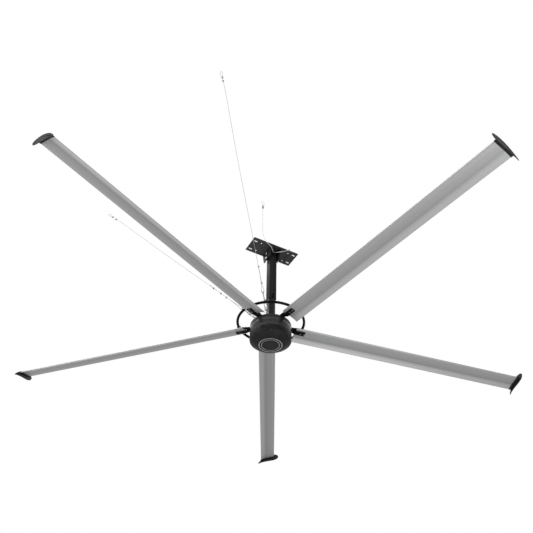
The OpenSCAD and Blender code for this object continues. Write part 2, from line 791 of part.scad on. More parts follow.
module stator_windings() {
    coil_l = stator_r - shoe_t - core_inner_r - core_back_t - 3 * run;
    color("peru") turned(tooth_count)
        translate([core_inner_r + core_back_t + run, 0, core_top - core_h - coil_over])
            difference() {
                translate([0, -tooth_w / 2 - run - coil_w / 2, 0])
                    cube([coil_l, tooth_w + 2 * run + coil_w, core_h + 2 * coil_over]);
                translate([-cut, -tooth_w / 2 - run / 2, coil_over - run / 2])
                    cube([coil_l + 2 * cut, tooth_w + run, core_h + run]);
            }
}

module bearing_ring(top, outer_r, inner_r) {
    difference() {
        ring(outer_r, inner_r, bearing_w, top - bearing_w);
        translate([0, 0, top - bearing_w / 2]) rotate_extrude() translate([ball_circle_r, 0])
            circle(r = raceway_r);
    }
}

module bearing_inner_rings() {
    color("lightsteelblue") for (z = bearing_tops)
        bearing_ring(z, bearing_bore_r + bearing_ring_t, bearing_bore_r);
}

module bearing_outer_rings() {
    color("lightsteelblue") for (z = bearing_tops)
        bearing_ring(z, bearing_out_r, bearing_out_r - bearing_ring_t);
}

module bearing_balls() {
    color("white") for (z = bearing_tops) translate([0, 0, z - bearing_w / 2])
        turned(ball_count) translate([ball_circle_r, 0, 0]) sphere(r = ball_r, $fn = 32);
}

module shaft_nut() {
    color("gray") ring(shaft_nut_r, bearing_bore_r, shaft_nut_t, shaft_bottom);
}

// Rotor

module rotor_housing() {
    color("dimgray") difference() {
        union() {
            ring(hub_r, housing_inner_r, housing_h, housing_bottom);
            ring(hub_r - cut, lip_r, web_t, web_top - web_t);
            ring(bearing_out_r + boss_t, lip_r, web_top - upper_bearing_top + bearing_w + cut,
                upper_bearing_top - bearing_w - cut);
        }
        translate([0, 0, upper_bearing_top - 2 * bearing_w])
            cylinder(r = bearing_out_r, h = 2 * bearing_w);
        turned(cover_screw_count, cover_screw_turn)
            translate([screw_circle_r, 0, housing_bottom - cut])
                cylinder(d = cover_screw_d + 2 * fit, h = cover_screw_grip + cut);
        turned(blade_count, first_blade + blade_turn / 2)
            translate([screw_circle_r, 0, web_top - cover_screw_grip])
                cylinder(d = cover_screw_d + 2 * fit, h = cover_screw_grip + cut);
        for (r = concat(arm_bolt_rs, [foot_bolt_r])) turned(blade_count, first_blade)
            translate([r, 0, web_top - web_t - cut])
                cylinder(d = arm_bolt_d + 2 * fit, h = web_t + 2 * cut);
    }
}
module top_cover() {
    color("black") difference() {
        translate([0, 0, web_top]) rotate_extrude() difference() {
            union() {
                square([hub_r - top_edge_r, top_cover_h]);
                square([hub_r, top_cover_h - top_edge_r]);
                translate([hub_r - top_edge_r, top_cover_h - top_edge_r]) circle(r = top_edge_r);
            }
            translate([0, -cut]) square([hub_r - housing_wall, top_cover_h - top_skin + cut]);
            translate([0, -cut]) square([top_cover_hole_r, top_cover_h + 2 * cut]);
        }
        // openings that the arms' blocks stand in
        turned(blade_count, first_blade)
            translate([arm_root_r - run, -arm_w / 2 - run, web_top])
                cube([arm_block_end_r - arm_root_r + 2 * run, arm_w + 2 * run, top_cover_h + cut]);
        turned(blade_count, first_blade + blade_turn / 2)
            translate([screw_circle_r, 0, web_top - cut]) {
                cylinder(d = cover_screw_d + 2 * fit, h = top_cover_h + 2 * cut);
                translate([0, 0, top_cover_h - screw_head_t + cut])
                    cylinder(r = screw_head_r + fit, h = screw_head_t + cut);
            }
    }
}

// Outline of the bottom cover: round lower edge, cone, floor and bearing boss
module bottom_cover_outline() {
    cone_a = atan2(bottom_cone_h, hub_r - cone_r);
    edge_z = side_bottom - housing_bottom + edge_r;
    depth = hub_bottom - housing_bottom;
    seat_z = lower_bearing_bottom - housing_bottom;
    polygon(concat(
        [[housing_inner_r - 4, 0], [hub_r - seam_h, 0], [hub_r - seam_h, -seam_h], [hub_r, -seam_h]],
        [for (a = [0:10:90 - cone_a]) [hub_r - edge_r + edge_r * cos(a), edge_z - edge_r * sin(a)]],
        [[cone_r, depth], [lip_r, depth], [lip_r, seat_z], [bearing_out_r, seat_z],
         [bearing_out_r, seat_z + bearing_w + 2], [bearing_out_r + boss_t, seat_z + bearing_w + 2],
         [bearing_out_r + boss_t, depth + cover_wall], [cone_r - 2, depth + cover_wall],
         [housing_inner_r - 4, edge_z - cover_wall]]));
}

module bottom_cover() {
    color("black") difference() {
        translate([0, 0, housing_bottom]) rotate_extrude($fn = 96) bottom_cover_outline();
        turned(cover_screw_count, cover_screw_turn) translate([screw_circle_r, 0, 0]) {
            translate([0, 0, side_bottom - bottom_cone_h])
                cylinder(d = cover_screw_d + 2 * fit, h = bottom_side_h + bottom_cone_h + cut);
            translate([0, 0, side_bottom - bottom_cone_h])
                cylinder(r = screw_head_r + fit, h = bottom_cone_h + screw_head_t);
        }
    }
}

module bottom_disc() {
    color("black") translate([0, 0, hub_bottom - disc_t]) {
        rotate_extrude($fn = 96) union() {
            square([disc_r - disc_t / 2, disc_t]);
            translate([0, disc_t / 2]) square([disc_r, disc_t / 2]);
            intersection() {
                translate([disc_r - disc_t / 2, disc_t / 2]) circle(d = disc_t);
                square([disc_r, disc_t / 2]);
            }
        }
        ring(lip_r - fit, lip_r - fit - 4, disc_t + 8, 0);
    }
}

module rotor_yoke() {
    color("gray") ring(housing_inner_r, yoke_inner_r, core_h + 2, core_top - core_h - 1);
}

module rotor_magnets() {
    gap_w = 2 * PI * yoke_inner_r / magnet_count * (1 - magnet_fill_share);
    color("darkslategray") difference() {
        ring(yoke_inner_r, magnet_inner_r, core_h, core_top - core_h);
        turned(magnet_count) translate([magnet_inner_r - cut, -gap_w / 2, core_top - core_h - cut])
            cube([magnet_t + 3 * cut, gap_w, core_h + 2 * cut]);
    }
}

module shaft_seal() {
    color("black") ring(lip_r, bearing_bore_r + run, seal_t, web_top - seal_t);
}

module cover_screws() {
    color("silver") {
        turned(cover_screw_count, cover_screw_turn)
            translate([screw_circle_r, 0, side_bottom + screw_head_t]) {
                translate([0, 0, -screw_head_t]) cylinder(r = screw_head_r, h = screw_head_t);
                cylinder(d = cover_screw_d, h = bottom_side_h - screw_head_t + cover_screw_grip - cut);
            }
        turned(blade_count, first_blade + blade_turn / 2)
            translate([screw_circle_r, 0, hub_top - screw_head_t + cut]) {
                cylinder(r = screw_head_r, h = screw_head_t - cut);
                translate([0, 0, -top_cover_h + screw_head_t - cover_screw_grip + cut])
                    cylinder(d = cover_screw_d, h = top_cover_h - screw_head_t + cover_screw_grip - cut);
            }
    }
}

// Blade arms, clamps and their fasteners

// The flat root of bar i at a height, and its flat seat on the blade; inset trims their section
module bar_root(i, from, to, z, t, inset) {
    rotate([0, 0, first_blade + i * blade_turn]) translate([from, inset - arm_w / 2, z + inset])
        cube([to - from, arm_w - 2 * inset, t - 2 * inset]);
}

module bar_seat(i, from, to, z, t, inset) {
    at_seat(i) translate([from, inset - arm_w / 2, z + inset])
        cube([to - from, arm_w - 2 * inset, t - 2 * inset]);
}

// A bar that lies flat on the hub and turns to the blade's pitch before the blade starts
module pitched_bar(i, from, to, end, root_z, root_t, seat_z, bar_t) {
    bar_root(i, from, to, root_z, root_t, 0);
    bar_seat(i, seat_start_r, end, seat_z, bar_t, 0);
    hull() {
        bar_root(i, to - neck_overlap, to - slice, root_z, root_t, neck_inset);
        bar_seat(i, seat_start_r + slice, seat_start_r + neck_overlap, seat_z, bar_t, neck_inset);
    }
}

module arm_bolt_holes(i, z, h) {
    rotate([0, 0, first_blade + i * blade_turn]) for (r = concat(arm_bolt_rs, [foot_bolt_r]))
        translate([r, 0, z]) cylinder(d = arm_bolt_d + 2 * fit, h = h);
}

module seat_holes(z, h) {
    for (r = blade_bolt_rs) translate([r, 0, z]) cylinder(d = blade_bolt_d + 2 * fit, h = h);
    for (s = [-1, 1]) translate([ring_r + s * u_bow_r, 0, z])
        cylinder(d = u_bolt_d + 2 * fit, h = h);
}

module blade_arms() {
    color("black") for (i = [0:blade_count - 1]) difference() {
        union() {
            pitched_bar(i, arm_root_r, arm_root_end, arm_end_r, hub_top, arm_t, -seat_t, seat_t);
            // block under the arm's root, down to the rotor web
            bar_root(i, arm_root_r, arm_block_end_r, web_top, top_cover_h + slice, 0);
        }
        arm_bolt_holes(i, web_top - cut, top_cover_h + arm_t + 2 * cut);
        at_seat(i) seat_holes(-seat_t - cut, seat_t + 2 * cut);
    }
}

module arm_bolts() {
    color("silver") turned(blade_count, first_blade) {
        for (r = arm_bolt_rs) translate([r, 0, hub_top + arm_t]) rotate([180, 0, 0])
            hex_bolt(arm_bolt_d, arm_t + top_cover_h + web_t);
        translate([foot_bolt_r, 0, hub_top + arm_t + clamp_t]) rotate([180, 0, 0])
            hex_bolt(arm_bolt_d, clamp_t + arm_t + top_cover_h + web_t);
    }
}

module clamp_plates() {
    color("black") difference() {
        for (i = [0:blade_count - 1]) difference() {
            pitched_bar(i, clamp_root_r, hub_r, clamp_end_r, hub_top + arm_t, clamp_t, foil_rise,
                clamp_t);
            arm_bolt_holes(i, hub_top + arm_t - cut, clamp_t + 2 * cut);
            at_seat(i) seat_holes(foil_rise - cut, clamp_t + 2 * cut);
        }
        ring_torus(fit);
    }
}

// Sleeves that keep the bolts from crushing the hollow blade
module blade_bushes() {
    h = foil_rise - 2 * blade_skin - 2 * bush_end_gap;
    color("lightsteelblue") every_seat() {
        for (r = blade_bolt_rs) translate([r, 0, 0])
            ring(blade_bolt_d / 2 + fit + bush_wall, blade_bolt_d / 2 + fit, h,
                blade_skin + bush_end_gap);
        for (s = [-1, 1]) translate([ring_r + s * u_bow_r, 0, 0])
            ring(u_bolt_d / 2 + fit + bush_wall, u_bolt_d / 2 + fit, h, blade_skin + bush_end_gap);
    }
}

module blade_bolts() {
    color("silver") every_seat() for (r = blade_bolt_rs)
        translate([r, 0, -seat_t]) hex_bolt(blade_bolt_d, seat_t + clamp_top + blade_bolt_d);
}

module blade_nuts() {
    color("silver") every_seat() {
        for (r = blade_bolt_rs) translate([r, 0, clamp_top]) hex_nut(blade_bolt_d);
        for (s = [-1, 1]) translate([ring_r + s * u_bow_r, 0, -seat_t]) rotate([180, 0, 0])
            hex_nut(u_bolt_d);
    }
}

// Safety ring

module ring_torus(extra) {
    translate([0, 0, blade_z + ring_lift]) rotate_extrude($fn = 96) translate([ring_r, 0])
        circle(r = ring_d / 2 + extra, $fn = 32);
}

module safety_ring() {
    color("black") ring_torus(0);
}

module ring_saddles() {
    color("black") difference() {
        every_seat() difference() {
            translate([ring_r - saddle_l / 2, -saddle_w / 2, clamp_top])
                cube([saddle_l, saddle_w, ring_seat_z - clamp_top]);
            seat_holes(0, ring_seat_z + cut);
        }
        ring_torus(fit);
    }
}

module ring_u_bolts() {
    nut_reach = seat_t + u_bolt_d * head_t_share * nut_share + u_bolt_past;
    color("silver") every_seat() {
        translate([ring_r, 0, ring_seat_z]) rotate([90, 0, 0]) rotate_extrude(angle = 180)
            translate([u_bow_r, 0]) circle(d = u_bolt_d);
        for (s = [-1, 1]) translate([ring_r + s * u_bow_r, 0, -nut_reach])
            cylinder(d = u_bolt_d, h = nut_reach + ring_seat_z);
    }
}

// Blades

function foil_point(x, table, off) =
    [(x - nose_share) * chord, lookup(x, table) * chord + chord_lift + off];
function cell_stations(c) = concat([c[0]], [for (x = foil_shares) if (x > c[0] && x < c[1]) x], [c[1]]);

module foil() {
    last = len(foil_shares) - 1;
    polygon(concat(
        [for (i = [0:last]) foil_point(foil_shares[i], lower_table, 0)],
        [for (i = [last:-1:1]) foil_point(foil_shares[i], upper_table, 0)]));
}

module foil_cell(c) {
    st = cell_stations(c);
    last = len(st) - 1;
    polygon(concat(
        [for (i = [0:last]) foil_point(st[i], lower_table, blade_skin)],
        [for (i = [last:-1:0]) foil_point(st[i], upper_table, -blade_skin)]));
}

module along_blade(from, to) {
    translate([from, 0, 0]) rotate([90, 0, 90]) linear_extrude(height = to - from) children();
}

module blade(i) {
    color("silver") difference() {
        at_blade(i) along_blade(blade_root_r, blade_tip_r) difference() {
            foil();
            for (c = cell_shares) foil_cell(c);
        }
        at_seat(i) seat_holes(-seat_t, clamp_top + 2 * seat_t);
        at_winglet_screws(i) cylinder(r = winglet_screw_r, h = winglet_screw_l);
    }
}

// Screws through the underside of the sleeve into the blade
module at_winglet_screws(i) {
    for (s = winglet_screw_shares) at_blade(i)
        translate([blade_end_r + tip_sleeve_l / 2, (s - nose_share) * chord,
            lookup(s, lower_table) * chord + chord_lift - tip_sleeve_t - cut]) children();
}

module sleeve_outline() {
    wide = (chord + 2 * tip_sleeve_t) / chord;
    last = len(foil_shares) - 1;
    function grown(x, table, off) = [((x - 0.5) * wide + 0.5 - nose_share) * chord,
        lookup(x, table) * chord + chord_lift + off];
    polygon(concat(
        [for (i = [0:last]) grown(foil_shares[i], lower_table, -tip_sleeve_t)],
        [for (i = [last:-1:0]) grown(foil_shares[i], upper_table, tip_sleeve_t)]));
}

module winglet(i) {
    color("black") difference() {
        at_blade(i) {
            along_blade(blade_end_r, blade_tip_r) difference() {
                sleeve_outline();
                foil();
            }
            along_blade(blade_tip_r, blade_tip_r + tip_plate_t)
                polygon([for (p = winglet_shares)
                    [(p[0] - nose_share) * chord, p[1] * chord + chord_lift]]);
        }
        at_winglet_screws(i) cylinder(r = winglet_screw_r, h = winglet_screw_l);
    }
}

module winglet_screws() {
    color("silver") for (i = [0:blade_count - 1]) at_winglet_screws(i) {
        cylinder(r = winglet_screw_r - fit / 2, h = winglet_screw_l - cut);
        translate([0, 0, -winglet_screw_head_t])
            cylinder(r = winglet_screw_r + cut, h = winglet_screw_head_t);
    }
}

module blade_1() blade(0);
module blade_2() blade(1);
module blade_3() blade(2);
module blade_4() blade(3);
module blade_5() blade(4);
module winglet_1() winglet(0);
module winglet_2() winglet(1);
module winglet_3() winglet(2);
module winglet_4() winglet(3);
module winglet_5() winglet(4);
module turnbuckle_frame_a() turnbuckle_frame(0);
module turnbuckle_frame_b() turnbuckle_frame(1);
module screw_eye_a() screw_eye(0);
module screw_eye_b() screw_eye(1);
module wire_fittings_a() wire_fittings(0);
module wire_fittings_b() wire_fittings(1);
module guy_wire_a() guy_wire(0, route_a);
module guy_wire_b() guy_wire(1, route_b);

ceiling_plate();
hanger_bracket();
hanger_bolts();
hanger_spacers();
rod_nuts();
rod_washers();
downrod();
rod_coupling();
coupling_bolts();
flange_bolts();
cable_gland();
guy_anchor();
turnbuckle_jaws();
jaw_pins();
stator_shaft();
stator_core();
stator_windings();
bearing_inner_rings();
shaft_nut();
bearing_balls();
rotor_housing();
top_cover();
bottom_cover();
bottom_disc();
bearing_outer_rings();
rotor_yoke();
rotor_magnets();
shaft_seal();
cover_screws();
blade_arms();
arm_bolts();
clamp_plates();
blade_bushes();
blade_bolts();
blade_nuts();
safety_ring();
ring_saddles();
ring_u_bolts();
blade_1();
blade_2();
blade_3();
blade_4();
blade_5();
winglet_1();
winglet_2();
winglet_3();
winglet_4();
winglet_5();
winglet_screws();
turnbuckle_frame_a();
turnbuckle_frame_b();
screw_eye_a();
screw_eye_b();
guy_wire_a();
guy_wire_b();
wire_fittings_a();
wire_fittings_b();
safety_cable();
safety_clips();
safety_terminal();
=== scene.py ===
# Looks for the five-blade ceiling fan. Metres, in the frame of the CAD model.
import json
import math

import bpy
from mathutils import Matrix, Vector


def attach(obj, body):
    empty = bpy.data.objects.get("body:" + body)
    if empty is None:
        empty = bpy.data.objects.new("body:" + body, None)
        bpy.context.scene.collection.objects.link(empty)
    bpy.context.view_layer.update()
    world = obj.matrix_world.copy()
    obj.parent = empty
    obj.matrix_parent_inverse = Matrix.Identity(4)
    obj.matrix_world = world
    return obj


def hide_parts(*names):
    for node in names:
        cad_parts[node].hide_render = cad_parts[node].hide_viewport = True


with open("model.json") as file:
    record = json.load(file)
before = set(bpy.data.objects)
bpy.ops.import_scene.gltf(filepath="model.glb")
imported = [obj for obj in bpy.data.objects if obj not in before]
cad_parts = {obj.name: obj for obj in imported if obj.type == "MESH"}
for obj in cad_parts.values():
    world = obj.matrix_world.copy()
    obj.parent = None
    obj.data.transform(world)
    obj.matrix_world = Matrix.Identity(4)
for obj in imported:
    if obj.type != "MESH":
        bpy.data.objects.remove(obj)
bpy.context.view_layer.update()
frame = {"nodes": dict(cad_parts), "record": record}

nodeBody = {node: body for body, nodes in frame["record"]["behaviour"]["bodies"].items() for node in nodes}
nodeSlot = {part["node"]: part["material_slot"] for part in frame["record"]["subparts"]}


def nodeSpan(node):
    # lowest and highest corner of a node
    places = [vertex.co for vertex in frame["nodes"][node].data.vertices]
    return [Vector(edge(place[axis] for place in places) for axis in range(3)) for edge in (min, max)]


# small tools used by every piece

meshCare = {
    "weld": 0.00001,       # CAD vertices nearer than this become one
    "latheWeld": 0.000005,
    "flatAngle": 0.6,      # CAD faces within this many degrees become one
    "sharpAngle": 35.0,    # a sharper edge is rounded, or kept out of smooth shading
    "leastSpan": 1e-9,     # keeps a division by a length safe
}


def deselectAll():
    bpy.ops.object.select_all(action="DESELECT")


def makeActive(obj):
    deselectAll()
    obj.select_set(True)
    bpy.context.view_layer.objects.active = obj


def startEdit(obj):
    makeActive(obj)
    bpy.ops.object.mode_set(mode="EDIT")
    bpy.ops.mesh.select_all(action="SELECT")


def endEdit():
    bpy.ops.object.mode_set(mode="OBJECT")


def smoothShade(obj, angle=meshCare["sharpAngle"]):
    makeActive(obj)
    bpy.ops.object.shade_smooth_by_angle(angle=math.radians(angle))
    return obj


def bevelEdges(obj, width, segments=2, angle=meshCare["sharpAngle"]):
    # rounds every edge sharper than the angle
    bevel = obj.modifiers.new("roundEdges", "BEVEL")
    bevel.width = width
    bevel.segments = segments
    bevel.limit_method = "ANGLE"
    bevel.angle_limit = math.radians(angle)
    bevel.use_clamp_overlap = False
    makeActive(obj)
    bpy.ops.object.modifier_apply(modifier=bevel.name)
    return obj


def joinAll(objects, name):
    deselectAll()
    for obj in objects:
        obj.select_set(True)
    bpy.context.view_layer.objects.active = objects[0]
    bpy.ops.object.join()
    objects[0].name = name
    return objects[0]


def copyTo(master, place, name):
    # a copy with its own mesh, its place in the mesh
    piece = master.copy()
    piece.data = master.data.copy()
    piece.data.transform(place)
    piece.name = name
    bpy.context.scene.collection.objects.link(piece)
    return piece


def loopObject(name, points):
    # a closed loop of edges through the points
    bpy.ops.mesh.primitive_circle_add(vertices=len(points), radius=1.0, fill_type="NOTHING")
    loop = bpy.context.object
    loop.name = name
    for vertex, place in zip(loop.data.vertices, points):
        vertex.co = place
    return loop


def fillAndExtrude(loop, push):
    # fills the loop, holes left open, and pulls it out
    startEdit(loop)
    bpy.ops.mesh.fill(use_beauty=True)
    bpy.ops.mesh.select_all(action="SELECT")
    bpy.ops.mesh.extrude_region_move(TRANSFORM_OT_translate={"value": push})
    bpy.ops.mesh.select_all(action="SELECT")
    bpy.ops.mesh.normals_make_consistent(inside=False)
    endEdit()
    return loop


def lathe(name, outline, steps):
    # turns a closed outline of (radius, height) about the vertical axis
    loop = loopObject(name, [(radius, 0.0, height) for radius, height in outline])
    startEdit(loop)
    bpy.ops.mesh.spin(steps=steps, angle=math.tau, center=(0, 0, 0), axis=(0, 0, 1))
    bpy.ops.mesh.select_all(action="SELECT")
    bpy.ops.mesh.remove_doubles(threshold=meshCare["latheWeld"])
    bpy.ops.mesh.normals_make_consistent(inside=False)
    endEdit()
    return smoothShade(loop)


def smoothLine(points, steps, closed=False, corners=()):
    # a curve through the points, evenly rounded; the numbered corners stay sharp
    points = [Vector(point) for point in points]
    count = len(points)
    line = []
    for i in range(count if closed else count - 1):
        here, there = points[i], points[(i + 1) % count]
        first = closed or i > 0
        last = closed or i < count - 2
        before = points[i - 1] if first and i not in corners else here * 2 - there
        after = points[(i + 2) % count] if last and (i + 1) % count not in corners else there * 2 - here
        pairs = ((before, here), (here, there), (there, after))
        spans = [max((b - a).length, meshCare["leastSpan"]) ** 0.5 for a, b in pairs]
        leave = ((here - before) / spans[0]
                 - (there - before) / (spans[0] + spans[1])
                 + (there - here) / spans[1]) * spans[1]
        reach = ((there - here) / spans[1]
                 - (after - here) / (spans[1] + spans[2])
                 + (after - there) / spans[2]) * spans[1]
        for k in range(steps):
            t = k / steps
            line.append(here * (2 * t ** 3 - 3 * t ** 2 + 1) + leave * (t ** 3 - 2 * t ** 2 + t)
                        + there * (3 * t ** 2 - 2 * t ** 3) + reach * (t ** 3 - t ** 2))
    if not closed:
        line.append(points[-1])
    return line


def evenLine(line, gap):
    # the same line with points at an even spacing
    lengths = [0.0]
    for a, b in zip(line, line[1:]):
        lengths.append(lengths[-1] + (b - a).length)
    count = max(2, round(lengths[-1] / gap))
    even = []
    i = 0
    for k in range(count + 1):
        at = lengths[-1] * k / count
        while i < len(line) - 2 and lengths[i + 1] < at:
            i += 1
        share = (at - lengths[i]) / max(lengths[i + 1] - lengths[i], meshCare["leastSpan"])
        even.append(line[i].lerp(line[i + 1], share))
    return even


def turnZ(angle):
    return Matrix.Rotation(math.radians(angle), 4, "Z")


def turnY(angle):
    return Matrix.Rotation(math.radians(angle), 4, "Y")


def turnX(angle):
    return Matrix.Rotation(math.radians(angle), 4, "X")


def moveTo(x, y, z):
    return Matrix.Translation((x, y, z))


# camera, as the photo was taken: from below, looking up at the fan

camera = {
    "place": (-2.300, -4.312, -4.670),
    "turn": (132.26, -0.64, -28.66),    # degrees
    "lens": 42.29,
    "shiftX": -0.0097,
    "shiftY": 0.0012,
    "sensor": 36.0,
    "reach": 60.0,                      # nothing further off is drawn
}


def setCamera():
    bpy.ops.object.camera_add(location=camera["place"])
    cam = bpy.context.object
    cam.name = "photoCamera"
    cam.rotation_euler = [math.radians(angle) for angle in camera["turn"]]
    cam.data.lens = camera["lens"]
    cam.data.sensor_width = camera["sensor"]
    cam.data.shift_x = camera["shiftX"]
    cam.data.shift_y = camera["shiftY"]
    cam.data.clip_end = camera["reach"]
    cam.data.dof.use_dof = False
    bpy.context.scene.camera = cam


setCamera()
print("camera set")


# materials: each finish is one small node tree

def startMaterial(name):
    mat = bpy.data.materials.new(name)
    mat.use_nodes = True
    nodes, links = mat.node_tree.nodes, mat.node_tree.links
    nodes.clear()
    out = nodes.new("ShaderNodeOutputMaterial")
    shader = nodes.new("ShaderNodeBsdfPrincipled")
    links.new(shader.outputs[0], out.inputs[0])
    return mat, nodes, links, shader


def objectPlace(nodes, links, stretch=(1, 1, 1)):
    place = nodes.new("ShaderNodeTexCoord")
    mapping = nodes.new("ShaderNodeMapping")
    mapping.inputs["Scale"].default_value = stretch
    links.new(place.outputs["Object"], mapping.inputs["Vector"])
    return mapping.outputs[0]


def uvPlace(nodes, links, layer, stretch=(1, 1, 1)):
    place = nodes.new("ShaderNodeUVMap")
    place.uv_map = layer
    mapping = nodes.new("ShaderNodeMapping")
    mapping.inputs["Scale"].default_value = stretch
    links.new(place.outputs[0], mapping.inputs["Vector"])
    return mapping.outputs[0]


def noiseValue(nodes, links, place, scale, detail=2.0):
    cloud = nodes.new("ShaderNodeTexNoise")
    cloud.inputs["Scale"].default_value = scale
    cloud.inputs["Detail"].default_value = detail
    links.new(place, cloud.inputs["Vector"])
    return cloud.outputs[0]


def betweenValues(nodes, links, value, low, high, start=0.3, end=0.7):
    span = nodes.new("ShaderNodeMapRange")
    for name, number in (("From Min", start), ("From Max", end), ("To Min", low), ("To Max", high)):
        span.inputs[name].default_value = number
    links.new(value, span.inputs["Value"])
    return span.outputs[0]


def betweenColors(nodes, links, value, deep, pale, start=0.3, end=0.7):
    ramp = nodes.new("ShaderNodeValToRGB")
    ramp.color_ramp.elements[0].position = start
    ramp.color_ramp.elements[0].color = (*deep, 1)
    ramp.color_ramp.elements[1].position = end
    ramp.color_ramp.elements[1].color = (*pale, 1)
    links.new(value, ramp.inputs[0])
    return ramp.outputs[0]


def blendColors(nodes, links, value, one, two, how="MIX"):
    mix = nodes.new("ShaderNodeMix")
    mix.data_type = "RGBA"
    mix.blend_type = how
    if isinstance(value, float):
        mix.inputs["Factor"].default_value = value
    else:
        links.new(value, mix.inputs["Factor"])
    for socket, color in (("A", one), ("B", two)):
        target = [s for s in mix.inputs if s.name == socket and s.type == "RGBA"][0]
        if isinstance(color, tuple):
            target.default_value = (*color, 1)
        else:
            links.new(color, target)
    return [s for s in mix.outputs if s.type == "RGBA"][0]


def roughen(nodes, links, shader, height, depth):
    bump = nodes.new("ShaderNodeBump")
    bump.inputs["Strength"].default_value = 1.0
    bump.inputs["Distance"].default_value = depth
    links.new(height, bump.inputs["Height"])
    links.new(bump.outputs[0], shader.inputs["Normal"])


def paintedEdgeHighlight(nodes, links, look):
    # where an edge is, from the shape itself: the mask of the painted highlight on pointed edges
    shape = nodes.new("ShaderNodeNewGeometry")
    return betweenValues(nodes, links, shape.outputs["Pointiness"], 0.0, look["wear"], *look["edgeFrom"])


powderBlack = {
    "deep": (0.0075, 0.0075, 0.008),
    "pale": (0.0115, 0.0115, 0.012),
    # colour of the painted highlight on pointed edges
    "edge": (0.03, 0.03, 0.031),
    "edgeFrom": (0.52, 0.58),   # how pointed a place is where the painted edge highlight starts and is full
    "wear": 0.15,
    "gloss": (0.38, 0.48),
    "specular": 0.085,
    "grain": 900.0,        # orange peel, bumps per metre
    "grainDepth": 0.00003,
    "blotch": 14.0,
}
# painted shade: a darker copy of the black paint
shadedBlack = dict(
    powderBlack,
    deep=(0.0022, 0.0022, 0.0023),
    pale=(0.0038, 0.0038, 0.004),
    # colour of the painted highlight on pointed edges
    edge=(0.012, 0.012, 0.0125),
    specular=0.035,
)
plateBlack = dict(
    powderBlack,
    deep=(0.026, 0.026, 0.0265),
    pale=(0.038, 0.038, 0.0385),
)
powderGrey = dict(
    powderBlack,
    deep=(0.008, 0.008, 0.0083),
    pale=(0.012, 0.012, 0.0124),
    # colour and strength of the painted highlight on pointed edges
    edge=(0.09, 0.09, 0.092),
    wear=0.3,
    gloss=(0.22, 0.28),
    specular=0.3,
    grain=1100.0,
    grainDepth=0.00004,
    blotch=18.0,
)


def powderCoat(name, look):
    mat, nodes, links, shader = startMaterial(name)
    place = objectPlace(nodes, links)
    soft = noiseValue(nodes, links, place, look["blotch"], detail=4.0)
    base = betweenColors(nodes, links, soft, look["deep"], look["pale"])
    # pointed edges lightened: a painted highlight
    edgeHighlighted = blendColors(nodes, links, paintedEdgeHighlight(nodes, links, look), base, look["edge"])
    links.new(edgeHighlighted, shader.inputs["Base Color"])
    links.new(betweenValues(nodes, links, soft, *look["gloss"]), shader.inputs["Roughness"])
    shader.inputs["Specular IOR Level"].default_value = look["specular"]
    peel = noiseValue(nodes, links, place, look["grain"], detail=1.0)
    roughen(nodes, links, shader, peel, look["grainDepth"])
    return mat


blackNylon = {
    "deep": (0.0075, 0.0075, 0.008),
    "pale": (0.012, 0.012, 0.0125),
    "gloss": (0.48, 0.6),
    "specular": 0.18,
    "grain": 1600.0,
    "grainDepth": 0.00005,
    "blotch": 22.0,
}
nitrileRubber = dict(blackNylon, gloss=(0.6, 0.75))


def mouldedPlastic(name, look):
    mat, nodes, links, shader = startMaterial(name)
    place = objectPlace(nodes, links)
    soft = noiseValue(nodes, links, place, look["blotch"], detail=3.0)
    links.new(betweenColors(nodes, links, soft, look["deep"], look["pale"]), shader.inputs["Base Color"])
    links.new(betweenValues(nodes, links, soft, *look["gloss"]), shader.inputs["Roughness"])
    shader.inputs["Specular IOR Level"].default_value = look["specular"]
    leather = noiseValue(nodes, links, place, look["grain"])
    roughen(nodes, links, shader, leather, look["grainDepth"])
    return mat


satinBlade = {
    # painted shade and highlight across the chord, from the nose to the tail: a darker band a little past
    # the middle, a lighter strip towards the tail
    "bands": [(0.0, 0.31), (0.12, 0.335), (0.30, 0.305), (0.52, 0.285), (0.60, 0.262), (0.655, 0.265),
              (0.70, 0.315), (0.80, 0.37), (1.0, 0.37)],
    "across": (-0.052, 0.128),          # V at nose and tail
    "tint": (0.995, 1.0, 1.0),
    "gloss": (0.38, 0.46),
    "metal": 0.65,
    "lineStretch": (0.4, 260.0, 1),     # drawn lines run along the blade
    "bandStretch": (0.3, 30.0, 1),
    "lineShade": (0.965, 1.0),
    "bandShade": (0.96, 1.0),
    "lineDepth": 0.000008,
}


def rampThrough(nodes, links, value, stops, tint):
    ramp = nodes.new("ShaderNodeValToRGB")
    points = ramp.color_ramp.elements
    while len(points) < len(stops):
        points.new(0.5)
    for point, (at, shade) in zip(points, stops):
        point.position = at
    for point, (at, shade) in zip(points, stops):
        point.color = (*[shade * part for part in tint], 1)
    links.new(value, ramp.inputs[0])
    return ramp.outputs[0]


def anodisedAluminium(name, look):
    mat, nodes, links, shader = startMaterial(name)
    lines = noiseValue(nodes, links, uvPlace(nodes, links, "alongBlade", look["lineStretch"]), scale=1.0)
    bands = noiseValue(nodes, links, uvPlace(nodes, links, "alongBlade", look["bandStretch"]), scale=1.0)
    apart = nodes.new("ShaderNodeSeparateXYZ")
    links.new(uvPlace(nodes, links, "alongBlade"), apart.inputs[0])
    across = betweenValues(nodes, links, apart.outputs["Y"], 0.0, 1.0, *look["across"])
    # the painted shade and highlight across the chord
    shade = rampThrough(nodes, links, across, look["bands"], look["tint"])
    for value, key in ((lines, "lineShade"), (bands, "bandShade")):
        low, high = [(part,) * 3 for part in look[key]]
        marks = betweenColors(nodes, links, value, low, high)
        shade = blendColors(nodes, links, 1.0, shade, marks, "MULTIPLY")
    links.new(shade, shader.inputs["Base Color"])
    links.new(betweenValues(nodes, links, lines, *look["gloss"]), shader.inputs["Roughness"])
    shader.inputs["Metallic"].default_value = look["metal"]
    roughen(nodes, links, shader, lines, look["lineDepth"])
    return mat


